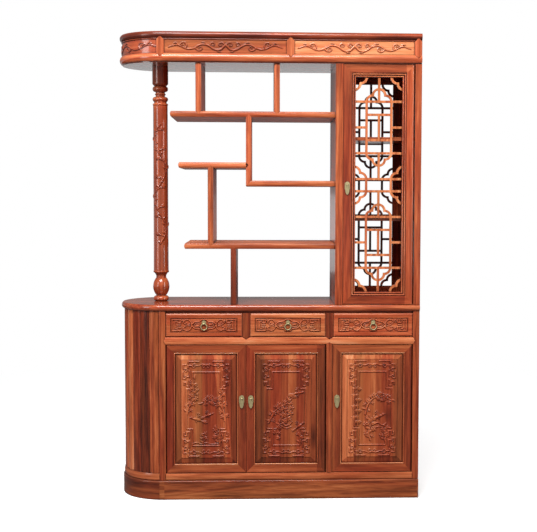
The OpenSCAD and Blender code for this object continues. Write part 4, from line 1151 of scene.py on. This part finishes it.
@dataclass
class Drawers:
    """Three drawers with carved fronts.

    Attributes:
        fields: Left and right edge of each sunk field, in millimetres.
        field_y: The sunk fields' face.
        field_z: Their lowest and highest edge.
        tones: Tone of each front.
        rim: Ground left bare round the carving.
    """

    fields: tuple[Point, ...] = ((-422.5, -134.75), (-60.75, 223.5), (297.5, 601.5))
    field_y: float = -184.0
    field_z: Point = (725.0, 787.0)
    tones: tuple[float, ...] = (0.59, 0.65, 0.66)
    rim: float = 2.0

    def _carve(self, half_width: float) -> ReliefSheet:
        """A cartouche round the ring, with scrolls and a fret on each side.

        Args:
            half_width: Half the field's width.

        Returns:
            The carved sheet.
        """
        low, high = self.field_z
        sheet = ReliefSheet(2 * (half_width - self.rim), high - low - 2 * self.rim, 0.9)
        cartouche = (([(0, 25), (10, 24), (18, 17), (29, 15), (42, 12), (54, 0)], 2.8, 2.3),
                     ([(19, 8), (29, 8), (38, 6), (44, 0)], 1.7, 1.8),
                     ([(52, 3), (57, 15), (68, 23), (81, 21), (87, 13), (81, 6), (74, 10)], 2.5, 2.4, 1.5),
                     ([(60, 4), (69, 2), (78, -2)], 1.8, 1.8, 1.2))
        for path, *cut in cartouche:
            sheet.mirrored(smooth(path), *cut)
        for side in (1, -1):
            sheet.leaf((side * 20, 0), 90 - side * 90, 19, 4.0, 2.0)
        fret = (([(-38, 24), (0, 24), (0, 0)], 2.3, 2.4), ([(-38, 24), (-38, 9), (-24, 9)], 2.3, 2.4),
                ([(-13, 13), (-13, 0)], 2.1, 2.2), ([(-24, 17), (-13, 15)], 2.0, 2.2),
                ([(-36, 0), (-22, 0)], 2.2, 2.2))
        edge = half_width - 8
        for path, *cut in fret:
            sheet.mirrored(np.array(path) + (edge, 0), *cut)
        sheet.mirrored(spiral((edge - 47, 15), 6.5, 1.1, 40), 1.9, 2.2, 1.3)
        return sheet

    def build(self) -> None:
        """Dresses the drawers and carves their fronts."""
        middle_z = sum(self.field_z) / 2
        for k, ((left, right), tone) in enumerate(zip(self.fields, self.tones), 1):
            # crest=0.05 is a painted highlight: the carved crests are painted lighter.
            front = wood(f"drawer_{k}_front", tone, ALONG, 0.36, [f"drawer_{k}_front"], boards=0.03, crest=0.05,
                         coat=0.15, coat_roughness=0.3, rubbed=0.1, seed=10.0 + k)
            self._carve((right - left) / 2).piece(
                f"drawer_{k}_carving", flat_front((left + right) / 2, self.field_y, middle_z), front, f"drawer_{k}")
        wood("drawer_box", 0.45, ALONG, 0.4, [f"drawer_{k}_box" for k in (1, 2, 3)], coat=0.1, roughness=0.5,
             seed=14.0)


@dataclass(frozen=True)
class Picture:
    """What a door's panel shows, in millimetres from its middle.

    Attributes:
        sprays: Path, half width, leaves and flowers of each branch.
        birds: Place, size, facing and tilt of each bird.
        lines: Path, half width, height and half the width at the end of each line of ground.
        bamboo: Foot along the panel and top of each bamboo.
    """

    sprays: tuple[tuple[Any, ...], ...]
    birds: tuple[tuple[Any, ...], ...]
    lines: tuple[tuple[Any, ...], ...]
    bamboo: tuple[tuple[int, int], ...] = ()

    BAMBOO_FOOT, JOINT_STEP, LEAF_FOOT, LEAF_STEP = -80, 22, -56, 24
    BAMBOO_LEANS = (-68, -42, -18)

    def carve(self, sheet: ReliefSheet) -> None:
        """Raises the picture.

        Args:
            sheet: The sheet that it is raised on.
        """
        for spray in self.sprays:
            sheet.spray(*spray)
        for bird in self.birds:
            sheet.bird(*bird)
        for path, *cut in self.lines:
            sheet.stroke(smooth(path), *cut)
        for foot, top in self.bamboo:
            for low in range(self.BAMBOO_FOOT, top, self.JOINT_STEP):
                sheet.stroke([(foot, low + 1.5), (foot + 1, low + self.JOINT_STEP - 2)], 2.3, 1.9)
            for number, high in enumerate(range(self.LEAF_FOOT, top, self.LEAF_STEP)):
                for lean in self.BAMBOO_LEANS:
                    sheet.leaf((foot + 1, high), lean - 90 * (number % 2), 17, 2.6, 1.7)


TWO_SPRAYS = Picture(
    sprays=(
        ([(-82, -22), (-74, 8), (-60, 34), (-52, 66), (-55, 96), (-48, 128)], 3.4,
         [(0.1, 150, 15), (0.2, 30, 17), (0.32, 160, 15), (0.42, 20, 16), (0.55, 170, 14), (0.62, 40, 17),
          (0.75, 150, 14), (0.85, 30, 15), (1.0, 80, 16)],
         [(-70, 22, 7.5), (-44, 44, 8), (-66, 60, 7), (-40, 84, 7), (-62, 112, 6.5), (-78, 0, 6)]),
        ([(80, -52), (76, -16), (62, 14), (38, 34), (12, 40), (-14, 28)], 3.6,
         [(0.12, 20, 16), (0.2, 140, 17), (0.35, 60, 17), (0.45, 190, 16), (0.58, 110, 18), (0.7, 240, 15),
          (0.8, 100, 16), (0.9, 230, 14), (1.0, 190, 16)],
         [(70, -34, 7), (54, 22, 8), (30, 24, 7.5), (20, 50, 8), (-4, 38, 7), (46, 40, 6.5)]),
        ([(70, 4), (72, 34), (66, 60), (74, 84)], 2.4,
         [(0.2, 30, 15), (0.4, 150, 16), (0.6, 40, 15), (0.8, 140, 15), (1.0, 90, 15)],
         [(60, 50, 7), (78, 62, 6.5), (66, 76, 6)]),
        ([(58, -150), (50, -128), (56, -108), (44, -88)], 2.6,
         [(0.1, 150, 16), (0.3, 20, 17), (0.5, 160, 17), (0.7, 30, 16), (1.0, 100, 15)],
         [(38, -92, 8), (62, -112, 7.5), (36, -124, 7), (66, -138, 7)]),
        ([(-8, -152), (-12, -130), (-4, -112)], 2.0,
         [(0.2, 150, 14), (0.5, 30, 15), (0.8, 140, 14)], [(-4, -108, 7), (-20, -128, 5.5)]),
    ),
    birds=(((-42, -46), 34, -1, 16), ((10, -28), 26, 1, 20)),
    lines=(([(-58, -150), (-40, -146), (-20, -152), (0, -147), (24, -153), (54, -149)], 2.4, 1.8, 1.4),),
)
BOUQUET = Picture(
    sprays=(
        ([(-76, -62), (-60, -34), (-46, -10), (-24, 8), (2, 22), (26, 44), (44, 72)], 3.8,
         [(0.08, 170, 16), (0.16, 60, 17), (0.3, 150, 16), (0.42, 80, 16), (0.55, 140, 17), (0.66, -10, 16),
          (0.78, 120, 17), (0.88, 0, 15), (1.0, 60, 17)],
         [(-52, -22, 7.5), (-30, 16, 8), (-6, 26, 7), (30, 56, 8), (12, 38, 7)]),
        ([(0, -62), (6, -34), (-6, -8), (8, 14)], 3.6,
         [(0.1, 160, 18), (0.2, 20, 18), (0.4, 150, 17), (0.55, 30, 18), (0.8, 140, 16)],
         [(-12, -30, 10), (18, -22, 10), (2, -46, 9), (-20, -6, 8), (24, 4, 8)]),
        ([(-6, -58), (-28, -70), (-44, -92), (-40, -118)], 2.6,
         [(0.3, 160, 15), (0.5, -60, 15), (0.75, 180, 15), (1.0, -80, 15)],
         [(-30, -80, 7), (-50, -104, 7), (-34, -128, 6.5)]),
        ([(66, -150), (58, -128), (64, -106)], 2.2,
         [(0.2, 160, 15), (0.5, 20, 15), (0.9, 130, 15)], [(56, -112, 7), (70, -128, 6)]),
    ),
    birds=(((52, 66), 30, 1, 8), ((58, -76), 28, 1, 34)),
    lines=(([(-14, -66), (-2, -74), (16, -68), (26, -58)], 3.2, 2.2, 2.0),
           ([(-20, -76), (0, -86), (24, -78)], 2.8, 2.0, 1.6)),
)
BAMBOO = Picture(
    sprays=(
        ([(-30, -26), (-22, 8), (-4, 36), (22, 52), (48, 48), (78, 36)], 4.2,
         [(0.15, 170, 16), (0.3, 120, 17), (0.45, 100, 18), (0.55, -60, 16), (0.68, 80, 17), (0.78, -70, 16),
          (0.9, 60, 16), (1.0, -20, 16)],
         [(-14, 34, 8), (8, 56, 8), (30, 62, 7.5), (56, 56, 8), (40, 36, 7), (72, 26, 7)]),
        ([(-8, -140), (-16, -104), (-4, -66), (-14, -30)], 3.4,
         [(0.15, 150, 17), (0.3, 30, 18), (0.5, 160, 17), (0.65, 20, 18), (0.85, 150, 16)],
         [(8, -92, 8), (-30, -70, 8), (8, -44, 8.5), (-24, -112, 7)]),
        ([(58, -148), (50, -124), (60, -102), (52, -84)], 2.4,
         [(0.2, 150, 15), (0.45, 30, 16), (0.7, 150, 15), (1.0, 60, 15)],
         [(40, -118, 7), (66, -116, 7), (46, -92, 6.5)]),
    ),
    birds=(((28, -38), 34, 1, 22),),
    lines=(([(2, -72), (24, -64), (46, -74), (60, -66)], 3.4, 2.1, 1.8),
           ([(14, -84), (34, -80), (52, -90)], 2.8, 2.0, 1.4)),
    bamboo=((-76, 80), (-64, 96)),
)


@dataclass(frozen=True)
class Door:
    """Where a door stands, in metres, and what its panel looks like.

    Attributes:
        name: The door's name.
        middle: Its middle, along the front and up.
        half: Half its width and height.
        seed: Moves the figure of its wood.
        slant: Lean of its boards' joints.
        picture: What its panel shows.
        bands: Boards and stains of its panel.
        tone: Tone of its panel.
        dark_stile: Tone added on the stile at its right.
    """

    name: str
    middle: Point
    half: Point
    seed: float
    slant: float
    picture: Picture
    bands: tuple[Band, ...]
    tone: float = 0.47
    dark_stile: float = 0.0

    STILE = 0.019
    STILE_HALF = 0.0195


@dataclass
class Doors:
    """Three carved doors below and the lattice door of the tall case.

    Attributes:
        places: The three doors.
        field: Width and height of the carved field, in millimetres.
        field_y: The field's face.
        line: Half the width of the fine raised lines.
        scroll: Half the width of the scrolls.
        case_door: Middle of the lattice door and half its size, in metres.
    """

    places: tuple[Door, ...] = (
        Door("door_1", (-0.27, 0.393), (0.1715, 0.277), 20.0, 0.04, TWO_SPRAYS, (
            Band(-0.3595, 0.015, 0.15), Band(-0.302, 0.0125, 0.02, brown=0.6), Band(-0.198, 0.017, 0.18, slant=-0.105),
            Band(-0.389, 0.014, -0.06, brown=0.4), Band(-0.255, 0.03, -0.03, brown=-0.4),
            Band(-0.150, 0.012, -0.02, brown=0.3))),
        Door("door_2", (0.0745, 0.393), (0.1715, 0.277), 21.3, 0.0, BOUQUET, (
            Band(-0.040, 0.020, -0.08, brown=0.4), Band(0.024, 0.018, 0.02, brown=-0.4),
            Band(0.085, 0.032, 0.06, brown=0.2), Band(0.135, 0.014, -0.03, brown=-0.4),
            Band(0.196, 0.010, -0.26, 0.27, 0.035, blur=0.009), Band(0.160, 0.006, 0.05)), dark_stile=-0.12),
        Door("door_3", (0.44775, 0.393), (0.17275, 0.277), 22.7, -0.02, BAMBOO, (
            Band(0.343, 0.026, 0.20), Band(0.395, 0.014, 0.0, brown=0.3), Band(0.435, 0.026, 0.07, brown=0.1),
            Band(0.520, 0.016, -0.24, 0.36, 0.03, blur=0.011), Band(0.560, 0.020, -0.07, brown=0.4)), tone=0.51),
    )
    field: Point = (214.0, 424.0)
    field_y: float = -185.5
    line: float = 2.7
    scroll: float = 2.9
    case_door: tuple[Point, Point] = ((0.4685, 1.3575), (0.152, 0.5105))

    def _border(self) -> ReliefSheet:
        """The stepped line round the picture, and the frets in the corners.

        Returns:
            The sheet, ready for its picture.
        """
        sheet = ReliefSheet(*self.field)
        lines = (
            (1.6, [(0, 160), (59, 160), (59, 87), (83, 87), (83, 0)]),
            (1.7, [(2, 192), (16, 194), (32, 188), (44, 188)]), (1.8, [(30, 206), (76, 206), (76, 198)]),
            (1.7, [(62, 188), (76, 188), (76, 178)]), (1.8, [(86, 192), (98, 192), (98, 176)]),
            (1.7, [(72, 168), (72, 140), (80, 140)]), (1.8, [(99, 160), (99, 132), (88, 132)]),
            (1.8, [(72, 124), (72, 100), (84, 100), (84, 116), (94, 116), (94, 104)]),
        )
        for high, path in lines:
            sheet.mirrored(path, self.line, high)
        scrolls = (((9, 184), 8.5, -1.2, 150, 1.9), ((52, 186), 9.5, -1.3, 120, 2.0), ((88, 168), 8.5, 1.2, 60, 2.0))
        for *curl, high in scrolls:
            sheet.mirrored(spiral(*curl), self.scroll, high, 1.2)
        sheet.mirrored(spiral((89, 142), 6.5, -1.1, 250), self.scroll * 0.85, 1.9, 1.1)
        return sheet

    def build(self) -> None:
        """Dresses the doors and carves their panels."""
        for door in self.places:
            dark = Band(door.middle[0] + door.half[0] - door.STILE, door.STILE_HALF, door.dark_stile)
            wood(f"{door.name}_frame", 0.52, FRAME, 0.35, [f"{door.name}_frame"], boards=0.03, middle=door.middle,
                 half=door.half, stile_tone=-0.12, bands=(dark,), rubbed=0.14, stain=0.5, beads=(0.0358,),
                 seed=door.seed)
            panel = wood(f"{door.name}_panel", door.tone, BOARDS, 0.28, [f"{door.name}_panel"], boards=0.03,
                         board_width=0.07, slant=door.slant, bands=door.bands, coat=0.32, coat_roughness=0.28,
                         rubbed=0.12, mixed=1.0, seed=door.seed + 0.5)
            sheet = self._border()
            door.picture.carve(sheet)
            middle_x, middle_z = (side / MM for side in door.middle)
            sheet.piece(f"{door.name}_carving", flat_front(middle_x, self.field_y, middle_z), panel, door.name)
        middle, half = self.case_door
        wood("case_door", 0.56, FRAME, 0.35, ["case_door_frame"], boards=0.08, middle=middle, half=half,
             stile_tone=-0.04, beads=(0.040, 0.049), bead_tone=0.22, seed=24.0,
             bands=(Band(0.3305, 0.014, -0.02, 1.36, 0.6), Band(0.602, 0.019, 0.13, 1.36, 0.6)))
        wood("lattice", 0.64, UPRIGHT, 0.45, ["case_lattice"], brown=0.6, seed=25.0)


@dataclass
class Display:
    """The open shelves, their dividers and the turned post.

    Attributes:
        post_x: The turned post's axis, in millimetres.
        carved_z: Lowest and highest height of the carving on its shaft.
        wrap: Width of the carving, round the shaft.
        shaft: Radius of the shaft at the carving's middle, and what it loses for each millimetre of height.
    """

    post_x: float = -476.0
    carved_z: Point = (1080.0, 1640.0)
    wrap: float = 190.0
    shaft: Point = (32.46, 0.00193)

    WAVES, SWAY, END, LEAVES, FLOWERS = 14, 26, 18, 26, 12

    def _climber(self) -> ReliefSheet:
        """A flowering branch that climbs the shaft.

        Returns:
            The carved sheet.
        """
        low, high = self.carved_z
        sheet = ReliefSheet(self.wrap, high - low)
        foot = (low - high) / 2 + self.END
        line = smooth([(self.SWAY * math.sin(k * 0.9), foot - k * 2 * foot / self.WAVES)
                       for k in range(self.WAVES + 1)])
        last = len(line) - 1
        sheet.stroke(line, 2.6, 1.7, 1.4)
        for k in range(self.LEAVES):
            sheet.leaf(line[int((k + 0.5) / self.LEAVES * last)], (145, 35)[k % 2] + 7 * (k % 3), 15.0, 2.5, 1.4)
        for k in range(self.FLOWERS):
            u, v = line[int((k + 0.8) / (self.FLOWERS + 0.5) * last)]
            side = (-1, 1)[k % 2]
            sheet.stroke(smooth([(u, v), (u + side * 14, v + 6), (u + side * 24, v + 10)]), 1.5, 1.3)
            sheet.blossom((u + side * 28, v + 11), 7.5)
        return sheet

    def build(self) -> None:
        """Dresses the display shelves and carves the post."""
        wood("shelf", 0.55, ALONG, 0.45, [f"shelf_{name}" for name in ("top", "left", "middle", "low")], coat=0.12,
             roughness=0.5, seed=30.0)
        wood("divider", 0.55, UPRIGHT, 0.45, ["shelf_dividers"], boards=0.03, coat=0.1, roughness=0.5, seed=31.0,
             bands=(Band(-0.1525, 0.03, -0.2, 0.96, 0.13),))
        # The band is painted light: the neck of the post is painted lighter, where the cornice shades it.
        post = wood("turned_post", 0.50, UPRIGHT, 0.34, ["turned_post"], boards=0.03, seed=32.0, roughness=0.24,
                    coat=0.7, crest_coat=0.1, stain=0.35, rubbed=0.08,
                    bands=(Band(self.post_x * MM, 0.1, 0.14, 1.745, 0.05, blur=0.004),))
        radius, taper = self.shaft
        place = round_face(self.post_x, radius, sum(self.carved_z) / 2, 0.0, taper)
        self._climber().piece("post_carving", place, post, slot="wood")


@dataclass
class TallCase:
    """The case behind the lattice door.

    Attributes:
        back: Middle of its back frame and half its size, in metres.
    """

    back: tuple[Point, Point] = ((0.4665, 1.3575), (0.1515, 0.5105))

    def build(self) -> None:
        """Dresses the tall case."""
        middle, half = self.back
        wood("case_stile", 0.53, UPRIGHT, 0.45, ["case_stiles", "case_walls"], boards=0.03, seed=40.0)
        wood("case_back", 0.44, FRAME, 0.45, ["case_back"], boards=0.1, middle=middle, half=half, seed=41.0)
        wood("case_shelf", 0.40, ALONG, 0.4, ["case_shelves"], seed=42.0)


@dataclass
class Cornice:
    """The cornice with its mouldings, stiles and panels.

    Attributes:
        middles: Middles of the front fields, in millimetres.
        middle_z: Middle height of the fields.
        face: Distance of the fields' face from the cabinet's middle line.
        arc_x: Axis of the round end.
        field: Width and height of a front field's carving.
        end_stretch: How much longer the vine of the round end is.
    """

    middles: Point = (-184.25, 362.25)
    middle_z: float = 1937.0
    face: float = 190.0
    arc_x: float = -450.0
    field: Point = (496.0, 52.0)
    end_stretch: float = 1.17

    def _vine(self, stretch: float = 1.0) -> ReliefSheet:
        """A waving vine with curls, the same to both sides of its middle.

        Args:
            stretch: How much longer it is cut than it is drawn.

        Returns:
            The carved sheet.
        """
        width, height = self.field
        sheet = ReliefSheet(width * stretch, height, 0.9)
        stem = [(0, 8), (8, 0), (20, -11), (36, -14), (52, -9), (66, 1), (82, 8), (98, 9), (114, 4), (130, -6),
                (150, -11), (168, -8), (184, -1), (200, 6), (212, 6), (226, 1), (240, -3)]
        curls = ([(2, 3), (8, 13), (18, 17), (27, 12), (26, 4), (19, 3), (17, 9)],
                 [(66, 1), (63, 11), (54, 17), (46, 12), (48, 5), (55, 6)],
                 [(128, -5), (119, -14), (107, -16), (99, -9), (102, -1), (110, -2), (111, -8)],
                 [(168, -8), (164, 4), (170, 15), (182, 16), (188, 9), (181, 4), (176, 8)],
                 [(78, 7), (88, 16), (100, 18)], [(36, -14), (30, -21), (20, -20)], [(200, 6), (206, 15), (216, 14)])
        for path, *cut in ((stem, 4.4, 2.9, 1.8), *((curl, 3.3, 2.5, 1.5) for curl in curls)):
            sheet.mirrored(smooth(path) * (stretch, 1.0), *cut, over=False)
        return sheet

    def build(self) -> None:
        """Dresses and carves the cornice."""
        wood("cornice_foot", 0.69, BENT, 0.4, ["cornice_foot"], boards=0.03, coat=0.6, rubbed=0.06, seed=50.0)
        wood("cornice_crown", 0.35, BENT, 0.45, ["cornice_crown"], boards=0.03, rubbed=0.1, seed=51.0)
        panel = wood("cornice_panel", 0.78, BENT, 0.3, ["cornice_panels"], boards=0.03, brown=0.7, ink=0.5, crest=-0.1,
                     rubbed=0.12, seed=52.0, bands=(Band(-0.565, 0.1, -0.24, 1.93, 0.1, brown=-0.6, gloss=0.8),
                                                    Band(-0.184, 0.26, -0.24, 1.93, 0.1),
                                                    Band(0.362, 0.26, 0.02, 1.93, 0.1, gloss=0.3)))
        sheet = self._vine()
        for number, middle in enumerate(self.middles, 1):
            sheet.piece(f"cornice_vine_{number}", flat_front(middle, -self.face, self.middle_z), panel)
        self._vine(self.end_stretch).piece(
            "cornice_vine_end", round_face(self.arc_x, self.face, self.middle_z, 90.0), panel)
        wood("cornice_stile", 0.66, UPRIGHT, 0.4, ["cornice_stiles"], seed=53.0)
        wood("cornice_board", 0.44, ALONG, 0.4, ["cornice_floor", "cornice_lid"], coat=1.0, turned=False, seed=54.0)


@dataclass
class Brassware:
    """Bosses, rings and hanging pulls."""

    def build(self) -> None:
        """Dresses the brass."""
        names = [f"{piece}_{k}_{part}" for piece, parts in (("drawer", ("boss", "ring")), ("door", ("pull", "leaf")))
                 for k in (1, 2, 3) for part in parts]
        dress(BrassFinish(), *names, "case_pull", "case_leaf")


def main() -> None:
    """Builds the studio and every sub-assembly, and reports each piece."""
    logging.basicConfig(level=logging.INFO, format="%(name)s %(message)s")
    for part in (Studio(), Carcass(), Drawers(), Doors(), Display(), TallCase(), Cornice(), Brassware()):
        part.build()


if __name__ == "__main__":
    main()
